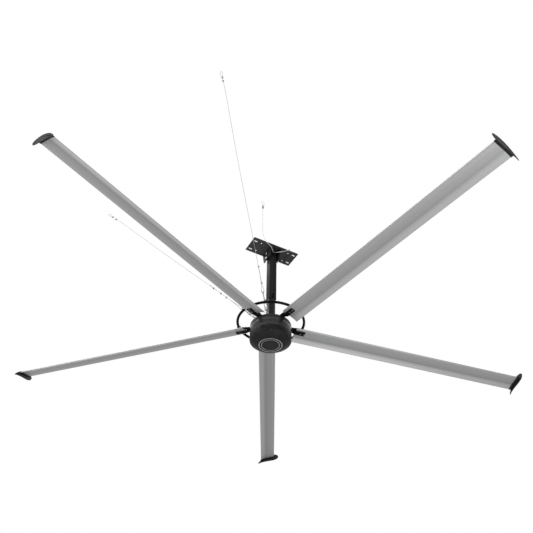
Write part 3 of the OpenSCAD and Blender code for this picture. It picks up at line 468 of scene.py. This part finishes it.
zincPlate = {
    "deep": (0.26, 0.265, 0.27),
    "pale": (0.36, 0.365, 0.37),
    "gloss": (0.3, 0.44),
    "metal": 0.8,
    "blotch": 60.0,
    "grain": 900.0,
    "grainDepth": 0.00003,
    "stretch": (1, 1, 1),
}
# a darker, rougher copy of the zinc plate
agedZinc = dict(
    zincPlate,
    deep=(0.12, 0.12, 0.123),
    pale=(0.18, 0.18, 0.183),
    gloss=(0.4, 0.5),
)
dullZinc = dict(
    zincPlate,
    deep=(0.05, 0.05, 0.052),
    pale=(0.09, 0.09, 0.093),
    gloss=(0.4, 0.5),
    metal=0.7,
    grainDepth=0.00002,
)
brightTrim = dict(
    zincPlate,
    deep=(0.56, 0.56, 0.57),
    pale=(0.66, 0.66, 0.67),
    gloss=(0.25, 0.35),
    metal=1.0,
    grainDepth=0.00002,
)
bareEdge = dict(
    zincPlate,
    deep=(0.72, 0.72, 0.73),
    pale=(0.8, 0.8, 0.81),
    gloss=(0.5, 0.6),
    metal=0.2,
    grainDepth=0.00002,
)
turnedSteel = dict(
    zincPlate,
    deep=(0.34, 0.35, 0.36),
    pale=(0.46, 0.47, 0.48),
    gloss=(0.2, 0.34),
    metal=1.0,
    grain=1400.0,
    stretch=(1, 1, 12),    # turning marks
)
nickelPlate = dict(
    zincPlate,
    deep=(0.36, 0.35, 0.34),
    pale=(0.5, 0.49, 0.47),
    gloss=(0.15, 0.25),
    metal=1.0,
    grain=500.0,
)


def metalFinish(name, look):
    # a plated or machined metal: mottled shade, fine marks
    mat, nodes, links, shader = startMaterial(name)
    place = objectPlace(nodes, links, look["stretch"])
    soft = noiseValue(nodes, links, place, look["blotch"], detail=4.0)
    links.new(betweenColors(nodes, links, soft, look["deep"], look["pale"]), shader.inputs["Base Color"])
    links.new(betweenValues(nodes, links, soft, *look["gloss"]), shader.inputs["Roughness"])
    shader.inputs["Metallic"].default_value = look["metal"]
    marks = noiseValue(nodes, links, place, look["grain"])
    roughen(nodes, links, shader, marks, look["grainDepth"])
    return mat


coreSheets = {
    "deep": (0.05, 0.052, 0.056),
    "pale": (0.16, 0.165, 0.17),
    "gloss": (0.35, 0.5),
    "metal": 0.7,
    "layers": 300.0,
    "stretch": (0, 0, 1),  # level layers
    "waver": 0.4,
    "grooveShare": (0.1, 0.6),
    "grooveDepth": 0.0001,
}
enamelledWire = dict(
    coreSheets,
    deep=(0.16, 0.05, 0.018),
    pale=(0.55, 0.22, 0.08),
    gloss=(0.25, 0.4),
    metal=0.75,
    layers=160.0,
)


def layeredFinish(name, look):
    # sheets or turns laid one on another
    mat, nodes, links, shader = startMaterial(name)
    bands = nodes.new("ShaderNodeTexWave")
    bands.inputs["Scale"].default_value = look["layers"]
    bands.inputs["Distortion"].default_value = look["waver"]
    bands.bands_direction = "Z"
    links.new(objectPlace(nodes, links, look["stretch"]), bands.inputs["Vector"])
    layer = bands.outputs["Fac"]
    shade = betweenColors(nodes, links, layer, look["deep"], look["pale"], *look["grooveShare"])
    links.new(shade, shader.inputs["Base Color"])
    gloss = betweenValues(nodes, links, layer, *look["gloss"], start=0.0, end=1.0)
    links.new(gloss, shader.inputs["Roughness"])
    shader.inputs["Metallic"].default_value = look["metal"]
    roughen(nodes, links, shader, layer, look["grooveDepth"])
    return mat


galvanisedRope = {
    "deep": (0.33, 0.332, 0.336),
    "pale": (0.41, 0.412, 0.416),
    "groove": (0.22, 0.22, 0.223),
    "gloss": (0.5, 0.65),
    "metal": 0.3,
    "blotch": 35.0,
    "grain": 2500.0,
    "grainDepth": 0.00003,
}
brightRope = dict(
    galvanisedRope,
    deep=(0.7, 0.702, 0.706),
    pale=(0.78, 0.782, 0.786),
    groove=(0.55, 0.55, 0.554),
)


def strandFinish(name, look):
    # the strands are in the mesh, grime lies between them
    mat, nodes, links, shader = startMaterial(name)
    crown = nodes.new("ShaderNodeAttribute")
    crown.attribute_name = "crown"
    place = objectPlace(nodes, links)
    soft = noiseValue(nodes, links, place, look["blotch"], detail=3.0)
    zinc = betweenColors(nodes, links, soft, look["deep"], look["pale"])
    shade = blendColors(nodes, links, crown.outputs["Fac"], look["groove"], zinc)
    links.new(shade, shader.inputs["Base Color"])
    links.new(betweenValues(nodes, links, soft, *look["gloss"]), shader.inputs["Roughness"])
    shader.inputs["Metallic"].default_value = look["metal"]
    grain = noiseValue(nodes, links, place, look["grain"], detail=1.0)
    roughen(nodes, links, shader, grain, look["grainDepth"])
    return mat


# the finish of each slot of the record
slotFinish = {
    "black_paint": powderCoat("blackPowderCoat", powderBlack),
    "satin_grey_paint": powderCoat("greyPowderCoat", powderGrey),
    "black_plastic": mouldedPlastic("blackNylon", blackNylon),
    "anodised_aluminium": anodisedAluminium("satinAluminium", satinBlade),
    "zinc_plated_steel": metalFinish("zincPlate", zincPlate),
    "wire_rope": strandFinish("wireRope", galvanisedRope),
    "machined_steel": metalFinish("turnedSteel", turnedSteel),
    "core_steel": layeredFinish("coreSheets", coreSheets),
    "magnet_nickel": metalFinish("nickelPlate", nickelPlate),
    "copper_winding": layeredFinish("enamelledWire", enamelledWire),
    "seal_rubber": mouldedPlastic("nitrileRubber", nitrileRubber),
}
trimFinish = metalFinish("brightTrim", brightTrim)
wallFinish = metalFinish("bareEdge", bareEdge)

# nodes that look unlike their slot in the photo: in shade, dulled or bright
shadedNodes = ("blade_arms", "clamp_plates", "ring_saddles", "safety_ring", "blade_bolts", "winglet_screws",
               "coupling_bolts", "hanger_spacers", "rod_washers")
# the parts in shade take the darker copy of the black paint: painted shade
ownFinish = dict.fromkeys(shadedNodes, powderCoat("blackSteel", shadedBlack))
ownFinish["ceiling_plate"] = powderCoat("platePowderCoat", plateBlack)
ownFinish["hanger_bolts"] = trimFinish
ownFinish.update(dict.fromkeys(("ring_u_bolts", "blade_nuts"), metalFinish("agedZinc", agedZinc)))
ownFinish["safety_cable"] = strandFinish("brightRope", brightRope)
ownFinish["cover_screws"] = metalFinish("dullZinc", dullZinc)
print("materials made")


def settle(piece, *nodes):
    # the piece stands for the nodes, rides on their body and takes their finish
    slotName = nodeSlot[nodes[0]]
    piece.data.materials.clear()
    piece.data.materials.append(ownFinish.get(nodes[0], slotFinish[slotName]))
    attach(piece, nodeBody[nodes[0]])
    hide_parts(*nodes)
    return piece


def addTrim(piece, body, material):
    # a small piece of its own that stands for no node
    piece.data.materials.clear()
    piece.data.materials.append(material)
    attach(piece, body)


def roundedCopy(node, name, width):
    # the node's own shape with its edges rounded
    source = frame["nodes"][node]
    piece = source.copy()
    piece.data = source.data.copy()
    for key in list(piece.keys()):
        del piece[key]
    piece.parent = None
    piece.name = name
    bpy.context.scene.collection.objects.link(piece)
    startEdit(piece)
    bpy.ops.mesh.remove_doubles(threshold=meshCare["weld"])
    bpy.ops.mesh.dissolve_limited(angle_limit=math.radians(meshCare["flatAngle"]))
    endEdit()
    return settle(smoothShade(bevelEdges(piece, width)), node)


# cords: the routes repeat the CAD model's points, in millimetres

guyWires = {
    "a": {"turn": -136.5, "rise": 50.0, "roll": 0.0, "length": 2.66, "route": [
        (500, 5), (312, 5), (288, 8), (262, 12), (239, 13), (233, 11.5), (228, 7), (226, 0),
        (228, -7), (233, -11.5), (239, -13), (262, -9), (288, -3), (312, 0), (1600, 0),
        (2400, 0), (2420, -9), (2436, -13), (2448, -9), (2453, 1), (2448, 11), (2436, 15),
        (2420, 11), (2400, 5), (2330, 5)]},
    "b": {"turn": 155.0, "rise": 39.0, "roll": 90.0, "length": 2.62, "route": [
        (680, 12), (630, 5), (312, 5), (288, 8), (262, 12), (239, 13), (233, 11.5), (228, 7),
        (226, 0), (228, -7), (233, -11.5), (239, -13), (262, -9), (288, -3), (312, 0),
        (1200, 0), (2160, 0), (2180, -9), (2196, -13), (2208, -9), (2213, 1), (2208, 11),
        (2196, 15), (2180, 11), (2160, 5), (2075, 5)]},
}
guyAnchor = {"radius": 0.105, "height": -0.954}
safetyCable = {
    "length": 1.07,
    "diameter": 0.005,
    "fittingEdge": 0.0006,
    "route": [
        (132, -114, -18), (122, -114, -26), (90, -110, -48), (60, -101, -62), (30, -80, -66),
        (8, -63, -67), (-14, -63, -67), (-40, -86, -61), (-62, -104, -51), (-98, -114, -36),
        (-130, -116, -12), (-150, -116, 18), (-168, -115, 60), (-176, -115, 110),
        (-180, -115, 300), (-180, -115, 530), (-170, -115, 550), (-166, -115, 564),
        (-170, -115, 576), (-180, -115, 583), (-190, -115, 583), (-200, -115, 576),
        (-203, -115, 564), (-198, -115, 550), (-186, -115, 530), (-186, -115, 470)],
}
rope = {
    "guyDiameter": 0.004,
    "guyFittingEdge": 0.0005,
    "strands": 6,
    "pointsPerStrand": 3,
    "curveSteps": 12,      # between two points of a route
    "ringGap": 0.0036,
    "layShare": 7.5,       # one turn of the strands, in rope diameters
    "crownFrom": 0.3,      # how far out the grooves lie, in rope diameters
    "crownSpan": 0.18,     # how far the strands' crowns stand over them
    "smoothAngle": 60,
    "millimetre": 0.001,
}


def ropeSection(diameter):
    # outline of six strands round a core, as (angle, radius, crown)
    strandR = diameter / 6
    centreR = diameter / 3
    step = math.tau / rope["strands"]
    section = []
    for strand in range(rope["strands"]):
        for k in range(rope["pointsPerStrand"]):
            off = (k / rope["pointsPerStrand"] - 0.5) * step
            bulge = math.sqrt(max(strandR ** 2 - (centreR * math.sin(off)) ** 2, 0))
            reach = centreR * math.cos(off) + bulge
            crown = min(1.0, (reach / diameter - rope["crownFrom"]) / rope["crownSpan"])
            section.append((strand * step + off, reach, crown))
    return section


def layRope(name, line, diameter):
    # sweeps the twisted strands along the line
    section = ropeSection(diameter)
    count = len(section)
    places, crowns, faces = [], [], []
    heading = (line[1] - line[0]).normalized()
    side = heading.orthogonal().normalized()
    travelled = 0.0
    for i, centre in enumerate(line):
        ahead = (line[min(i + 1, len(line) - 1)] - line[max(i - 1, 0)]).normalized()
        side = (side - ahead * side.dot(ahead)).normalized()
        across = ahead.cross(side)
        if i:
            travelled += (centre - line[i - 1]).length
        twist = math.tau * travelled / (rope["layShare"] * diameter)
        for angle, reach, crown in section:
            turn = angle + twist
            places.append(centre + (side * math.cos(turn) + across * math.sin(turn)) * reach)
            crowns.append(crown)
    for i in range(len(line) - 1):
        for k in range(count):
            a = i * count + k
            b = i * count + (k + 1) % count
            faces.append((a, b, b + count, a + count))
    faces.append(tuple(reversed(range(count))))
    faces.append(tuple(range((len(line) - 1) * count, len(line) * count)))
    mesh = bpy.data.meshes.new(name)
    mesh.from_pydata(places, [], faces)
    mesh.attributes.new("crown", "FLOAT", "POINT").data.foreach_set("value", crowns)
    mesh.update()
    piece = bpy.data.objects.new(name, mesh)
    bpy.context.scene.collection.objects.link(piece)
    return smoothShade(piece, rope["smoothAngle"])


def wireFrame(wire):
    # X runs up along the wire from its anchor hole
    return (turnZ(wire["turn"]) @ moveTo(guyAnchor["radius"], 0, guyAnchor["height"])
            @ turnY(-wire["rise"]) @ turnX(wire["roll"]))


def cordLine(corners):
    return evenLine(smoothLine(corners, rope["curveSteps"]), rope["ringGap"])


mm = rope["millimetre"]
for key, wire in guyWires.items():
    line = cordLine([wireFrame(wire) @ Vector((u * mm, v * mm, 0)) for u, v in wire["route"]])
    fittings = roundedCopy("wire_fittings_" + key, "wireClips_" + key, rope["guyFittingEdge"])
    guyWire = settle(layRope("guyWire_" + key, line, rope["guyDiameter"]), "guy_wire_" + key)

safetyClips = roundedCopy("safety_clips", "safetyClips", safetyCable["fittingEdge"])
safetyEye = roundedCopy("safety_terminal", "safetyEye", safetyCable["fittingEdge"])
line = cordLine([Vector(p) * mm for p in safetyCable["route"]])
steelCable = settle(layRope("safetyCable", line, safetyCable["diameter"]), "safety_cable")
print("guy wires and safety cable laid")


# blades: one extrusion, copied five times

blade = {
    "count": 5,
    "firstTurn": 61.5,
    "height": -1.020,
    "pitch": 18.0,
    "droop": 1.0,
    "rootRadius": 0.256,
    "endRadius": 2.725,
    "sleeve": 0.028,
    "chord": 0.176,
    "noseShare": 0.304,
    "skin": 0.0025,
    "stations": [0, 0.0125, 0.03, 0.06, 0.10, 0.16, 0.25, 0.35, 0.45, 0.55, 0.65, 0.75, 0.85, 0.93, 1],
    "upper": [0, 0.033, 0.057, 0.084, 0.109, 0.132, 0.153, 0.162, 0.162, 0.155, 0.140, 0.116, 0.080,
              0.044, 0.006],
    "lower": [0, -0.019, -0.027, -0.031, -0.0295, -0.023, -0.0134, -0.0027, 0.008, 0.0187, 0.0294,
              0.025, 0.015, 0.0035, -0.006],
    "cells": [(0.03, 0.14), (0.155, 0.46), (0.475, 0.86)],
    "curveSteps": 4,
    "smoothAngle": 30,
    "grainShift": 3.7,      # metres of drawn lines from one blade to the next
    "grainRise": 0.5,       # how far height counts towards V
}
blade["tipRadius"] = blade["endRadius"] + blade["sleeve"]
blade["lift"] = blade["chord"] * (0.5 - blade["noseShare"]) * math.tan(math.radians(blade["pitch"]))
bladeTurns = [blade["firstTurn"] + i * 360 / blade["count"] for i in range(blade["count"])]


def bladeFrame(turn):
    # X runs out along the blade, Y to its tail, Z up from its chord
    return (turnZ(turn) @ moveTo(0, 0, blade["height"]) @ turnY(blade["droop"]) @ turnX(-blade["pitch"]))


def heightAt(share, table):
    stations = blade["stations"]
    i = max(k for k in range(len(stations) - 1) if stations[k] <= share)
    t = (share - stations[i]) / (stations[i + 1] - stations[i])
    return table[i] + (table[i + 1] - table[i]) * t


def sectionPoint(share, height, radius, off=0.0):
    chord = blade["chord"]
    return Vector((radius, (share - blade["noseShare"]) * chord, height * chord + blade["lift"] + off))


def foilLine(radius, grow=0.0):
    # outline from the nose under the blade to the tail and back over the top
    wide = 1 + 2 * grow / blade["chord"]
    shares = [(s - 0.5) * wide + 0.5 for s in blade["stations"]]
    under = [sectionPoint(s, h, radius, -grow) for s, h in zip(shares, blade["lower"])]
    over = [sectionPoint(s, h, radius, grow) for s, h in zip(shares, blade["upper"])]
    last = len(shares) - 1
    start = 1 if grow == 0 else 0
    points = under + list(reversed(over[start:]))
    return smoothLine(points, blade["curveSteps"], closed=True, corners=(last, last + 1))


def cellLine(cell, radius):
    inner = [s for s in blade["stations"] if cell[0] < s < cell[1]]
    shares = [cell[0]] + inner + [cell[1]]
    under = [sectionPoint(s, heightAt(s, blade["lower"]), radius, blade["skin"]) for s in shares]
    over = [sectionPoint(s, heightAt(s, blade["upper"]), radius, -blade["skin"]) for s in reversed(shares)]
    return under + over


def mapAlongBlade(piece, offset):
    # U along the blade and V across it, in metres
    layer = piece.data.uv_layers.get("alongBlade") or piece.data.uv_layers.new(name="alongBlade")
    for loop in piece.data.loops:
        place = piece.data.vertices[loop.vertex_index].co
        layer.data[loop.index].uv = (place.x + offset, place.y + blade["grainRise"] * place.z)


def makeBlade():
    root = blade["rootRadius"]
    loops = [loopObject("bladeSection", foilLine(root))]
    loops += [loopObject("bladeCell", cellLine(cell, root)) for cell in blade["cells"]]
    section = joinAll(loops, "bladeMaster")
    fillAndExtrude(section, (blade["tipRadius"] - root, 0, 0))
    return smoothShade(section, blade["smoothAngle"])


bladeMaster = makeBlade()
for i, turn in enumerate(bladeTurns):
    mapAlongBlade(bladeMaster, blade["grainShift"] * i)
    settle(copyTo(bladeMaster, bladeFrame(turn), "fanBlade_%d" % (i + 1)), "blade_%d" % (i + 1))
bpy.data.objects.remove(bladeMaster)
print("blades made")


# end plates with the sleeve that holds them on the blade

endPlate = {
    "shares": [(-0.31, -0.02), (-0.28, -0.11), (-0.21, -0.18), (-0.1, -0.22), (0.05, -0.235),
               (0.25, -0.225), (0.5, -0.19), (0.8, -0.16), (1.05, -0.155), (1.2, -0.165),
               (1.255, -0.165), (1.25, -0.13), (1.15, -0.05), (1, 0.04), (0.85, 0.11),
               (0.65, 0.18), (0.45, 0.22), (0.25, 0.235), (0.05, 0.21), (-0.12, 0.155),
               (-0.24, 0.085)],
    "thickness": 0.004,
    "edge": 0.0012,
    "edgeSteps": 3,
    "edgeAngle": 50,
    "flatAngle": 1,
    "rimWidth": 0.006,
    "rimDepth": 0.0006,
    "curveSteps": 4,
    "sleeveWall": 0.002,
    "sleeveEdge": 0.0006,
    "sleeveAngle": 60,
    "boreShare": (0.996, 0.98),     # the bore sinks a little into the blade's skin
    "smoothAngle": 40,
}


def sinkOuterFace(plate):
    # leaves a narrow raised rim round the outer face
    startEdit(plate)
    bpy.ops.mesh.select_all(action="DESELECT")
    endEdit()
    outer = max(plate.data.polygons, key=lambda face: face.center.x * face.area)
    outer.select = True
    bpy.ops.object.mode_set(mode="EDIT")
    bpy.ops.mesh.select_mode(type="FACE")
    bpy.ops.mesh.inset(thickness=endPlate["rimWidth"], depth=0)
    bpy.ops.mesh.inset(thickness=endPlate["rimDepth"], depth=-endPlate["rimDepth"])
    bpy.ops.mesh.select_mode(type="VERT")
    endEdit()


def makePlate():
    tip = blade["tipRadius"]
    corners = [sectionPoint(s, h, tip) for s, h in endPlate["shares"]]
    outline = smoothLine(corners, endPlate["curveSteps"], closed=True)
    plate = fillAndExtrude(loopObject("endPlate", outline), (endPlate["thickness"], 0, 0))
    startEdit(plate)
    bpy.ops.mesh.dissolve_limited(angle_limit=math.radians(endPlate["flatAngle"]))
    endEdit()
    bevelEdges(plate, endPlate["edge"], endPlate["edgeSteps"], endPlate["edgeAngle"])
    sinkOuterFace(plate)
    return plate


def makeSleeve():
    outer = foilLine(blade["endRadius"], endPlate["sleeveWall"])
    skin = foilLine(blade["endRadius"])
    middle = sum(skin, Vector()) / len(skin)
    wide, tall = endPlate["boreShare"]
    bore = [
        Vector((p.x, middle.y + (p.y - middle.y) * wide, middle.z + (p.z - middle.z) * tall))
        for p in skin
    ]
    walls = joinAll([loopObject("sleeve", outer), loopObject("bore", bore)], "sleeve")
    sleeve = fillAndExtrude(walls, (blade["sleeve"] + endPlate["edge"], 0, 0))
    return bevelEdges(sleeve, endPlate["sleeveEdge"], angle=endPlate["sleeveAngle"])


def makeEndPlate():
    pieces = [makePlate(), makeSleeve()]
    return smoothShade(joinAll(pieces, "endPlateMaster"), endPlate["smoothAngle"])


endPlateMaster = makeEndPlate()
for i, turn in enumerate(bladeTurns):
    settle(copyTo(endPlateMaster, bladeFrame(turn), "endPlate_%d" % (i + 1)), "winglet_%d" % (i + 1))
bpy.data.objects.remove(endPlateMaster)
print("end plates made")


# hub

discLow, discHigh = nodeSpan("bottom_disc")
hub = {
    "discBottom": discLow.z,
    "discRadius": discHigh.x,
    "discThick": 0.005,
    "discRound": 0.0025,
    "roundSteps": 4,
    "turnSteps": 128,
    "grooveDepth": 0.0007,
    "innerTrim": (0.0835, 0.0875),
    "outerTrim": (0.1065, 0.1125),
    "trimDepth": 0.0004,
    "trimInset": 0.0003,
    "edge": 0.0008,
    "topRimHeight": 0.0066,     # the dark rim round the top
    "top": nodeSpan("top_cover")[1].z,
}


def makeBottomDisc():
    bottom, radius = hub["discBottom"], hub["discRadius"]
    top = bottom + hub["discThick"]
    groove = bottom + hub["grooveDepth"]
    outline = [(0, bottom)]
    for inner, outer in (hub["innerTrim"], hub["outerTrim"]):
        outline += [(inner, bottom), (inner, groove), (outer, groove), (outer, bottom)]
    for k in range(hub["roundSteps"] + 1):
        turn = math.radians(90 * k / hub["roundSteps"])
        outline.append((radius - hub["discRound"] * (1 - math.sin(turn)),
                        bottom + hub["discRound"] * (1 - math.cos(turn))))
    outline += [(radius, top), (0, top)]
    settle(lathe("bottomDisc", outline, hub["turnSteps"]), "bottom_disc")


def makeTrimRing(name, span):
    inner, outer = span
    low = hub["discBottom"] + hub["grooveDepth"] - hub["trimDepth"]
    high = hub["discBottom"] + hub["grooveDepth"]
    inset = hub["trimInset"]
    outline = [(inner + inset, low), (outer - inset, low), (outer, high), (inner, high)]
    addTrim(lathe(name, outline, hub["turnSteps"]), "rotor", trimFinish)


def greyBelowRim(cover):
    # only the rim round the cover's top keeps the dark paint
    cover.data.materials.append(slotFinish["satin_grey_paint"])
    rimBottom = hub["top"] - hub["topRimHeight"]
    for face in cover.data.polygons:
        face.material_index = 1 if face.center.z < rimBottom else 0


makeBottomDisc()
makeTrimRing("innerTrimRing", hub["innerTrim"])
makeTrimRing("outerTrimRing", hub["outerTrim"])
roundedCopy("bottom_cover", "bottomCover", hub["edge"])
roundedCopy("rotor_housing", "rotorHousing", hub["edge"])
greyBelowRim(roundedCopy("top_cover", "topCover", hub["edge"]))
print("hub made")


# safety ring: bent tube

ringLow, ringHigh = nodeSpan("safety_ring")
safetyRing = {
    "tube": (ringHigh.z - ringLow.z) / 2,
    "height": (ringHigh.z + ringLow.z) / 2,
    "tubeShare": 0.995,     # a hair slimmer than the CAD model's tube
    "roundSegments": 192,
    "tubeSegments": 28,
    "smoothAngle": 60,
}
safetyRing["radius"] = ringHigh.x - safetyRing["tube"]


def makeSafetyRing():
    bpy.ops.mesh.primitive_torus_add(
        major_radius=safetyRing["radius"],
        minor_radius=safetyRing["tube"] * safetyRing["tubeShare"],
        major_segments=safetyRing["roundSegments"],
        minor_segments=safetyRing["tubeSegments"],
        location=(0, 0, safetyRing["height"]),
    )
    tube = bpy.context.object
    tube.name = "safetyRing"
    bpy.ops.object.transform_apply(location=True, rotation=True, scale=True)
    settle(smoothShade(tube, safetyRing["smoothAngle"]), "safety_ring")


makeSafetyRing()
print("safety ring made")


# pieces that keep the CAD shape, with the width of their rounded edges

roundedPieces = {
    "ceiling_plate": 0.0012,
    "hanger_bracket": 0.0012,
    "hanger_spacers": 0.0006,
    "downrod": 0.0008,
    "rod_coupling": 0.0008,
    "guy_anchor": 0.0012,
    "turnbuckle_jaws": 0.0008,
    "jaw_pins": 0.0005,
    "turnbuckle_frame_a": 0.0008,
    "turnbuckle_frame_b": 0.0008,
    "screw_eye_a": 0.0004,
    "screw_eye_b": 0.0004,
    "cable_gland": 0.0006,
    "blade_arms": 0.0012,
    "clamp_plates": 0.0012,
    "ring_saddles": 0.001,
    "ring_u_bolts": 0.0004,
    "hanger_bolts": 0.0008,
    "rod_nuts": 0.0008,
    "rod_washers": 0.0004,
    "coupling_bolts": 0.0007,
    "flange_bolts": 0.0007,
    "arm_bolts": 0.0007,
    "blade_bolts": 0.0006,
    "blade_nuts": 0.0006,
    "cover_screws": 0.0004,
    "winglet_screws": 0.0003,
}


def pieceName(node):
    words = node.split("_")
    return words[0] + "".join(word.capitalize() for word in words[1:])


for node, width in roundedPieces.items():
    roundedCopy(node, pieceName(node), width)
print("rounded pieces made")


# the plate's holes and slots are cut after painting: their walls are bare

plateWalls = {
    "inset": 0.004,         # from the plate's sides, which stay painted
    "steepest": 0.8,        # a face that looks further up or down is no wall
}


def barePlateWalls():
    plate = bpy.data.objects["ceilingPlate"]
    plate.data.materials.append(wallFinish)
    reach = nodeSpan("ceiling_plate")[1]
    for face in plate.data.polygons:
        inside = (abs(face.center.x) < reach.x - plateWalls["inset"]
                  and abs(face.center.y) < reach.y - plateWalls["inset"])
        if inside and abs(face.normal.z) < plateWalls["steepest"]:
            face.material_index = 1


barePlateWalls()
print("plate's cut walls bared")


# inner pieces keep the CAD node and only get a finish

for node, obj in frame["nodes"].items():
    if not obj.hide_render:
        obj.data.materials.clear()
        obj.data.materials.append(slotFinish[nodeSlot[node]])
print("inner pieces finished")


# floor, backdrop and light

studio = {
    "floorHeight": -8.6,
    "floorSize": 60.0,
    "floorShade": (0.86, 0.86, 0.86),
    "floorRoughness": 0.9,
    "roomLight": 0.62,
    "lamps": {
        "key": {"place": (-6.0, -0.6, -2.6), "size": 4.0, "power": 340.0},
        "rim": {"place": (5.5, 1.5, 0.4), "size": 2.2, "power": 160.0},
        "below": {"place": (1.5, -3.5, -6.5), "size": 5.0, "power": 220.0},
        "above": {"place": (-1.5, 1.5, 5.0), "size": 4.0, "power": 260.0},
    },
    "aim": (0.0, 0.0, -1.0),
}


def seenDirectly(nodes, links):
    # 1 where the camera, a mirror or glass sees the background
    path = nodes.new("ShaderNodeLightPath")
    value = path.outputs["Is Camera Ray"]
    for other in ("Is Glossy Ray", "Is Transmission Ray"):
        most = nodes.new("ShaderNodeMath")
        most.operation = "MAXIMUM"
        links.new(value, most.inputs[0])
        links.new(path.outputs[other], most.inputs[1])
        value = most.outputs[0]
    return value


def whiteRoom():
    world = bpy.data.worlds.new("studio")
    bpy.context.scene.world = world
    world.use_nodes = True
    bpy.context.scene.view_settings.view_transform = "Standard"
    nodes, links = world.node_tree.nodes, world.node_tree.links
    nodes.clear()
    out = nodes.new("ShaderNodeOutputWorld")
    background = nodes.new("ShaderNodeBackground")
    background.inputs[0].default_value = (1, 1, 1, 1)
    links.new(background.outputs[0], out.inputs[0])
    seen = seenDirectly(nodes, links)
    strength = betweenValues(nodes, links, seen, studio["roomLight"], 1.0, start=0.0, end=1.0)
    links.new(strength, background.inputs[1])


def whiteFloor():
    bpy.ops.mesh.primitive_plane_add(size=studio["floorSize"], location=(0, 0, studio["floorHeight"]))
    floor = bpy.context.object
    floor.name = "studioFloor"
    mat, _, _, shader = startMaterial("studioFloor")
    shader.inputs["Base Color"].default_value = (*studio["floorShade"], 1)
    shader.inputs["Roughness"].default_value = studio["floorRoughness"]
    floor.data.materials.append(mat)


def softLamp(name, look):
    bpy.ops.object.light_add(type="AREA", location=look["place"])
    lamp = bpy.context.object
    lamp.name = name
    lamp.data.energy = look["power"]
    lamp.data.size = look["size"]
    aim = Vector(studio["aim"]) - Vector(look["place"])
    lamp.rotation_euler = aim.to_track_quat("-Z", "Y").to_euler()


whiteRoom()
whiteFloor()
for name, look in studio["lamps"].items():
    softLamp(name + "Lamp", look)
print("studio set")
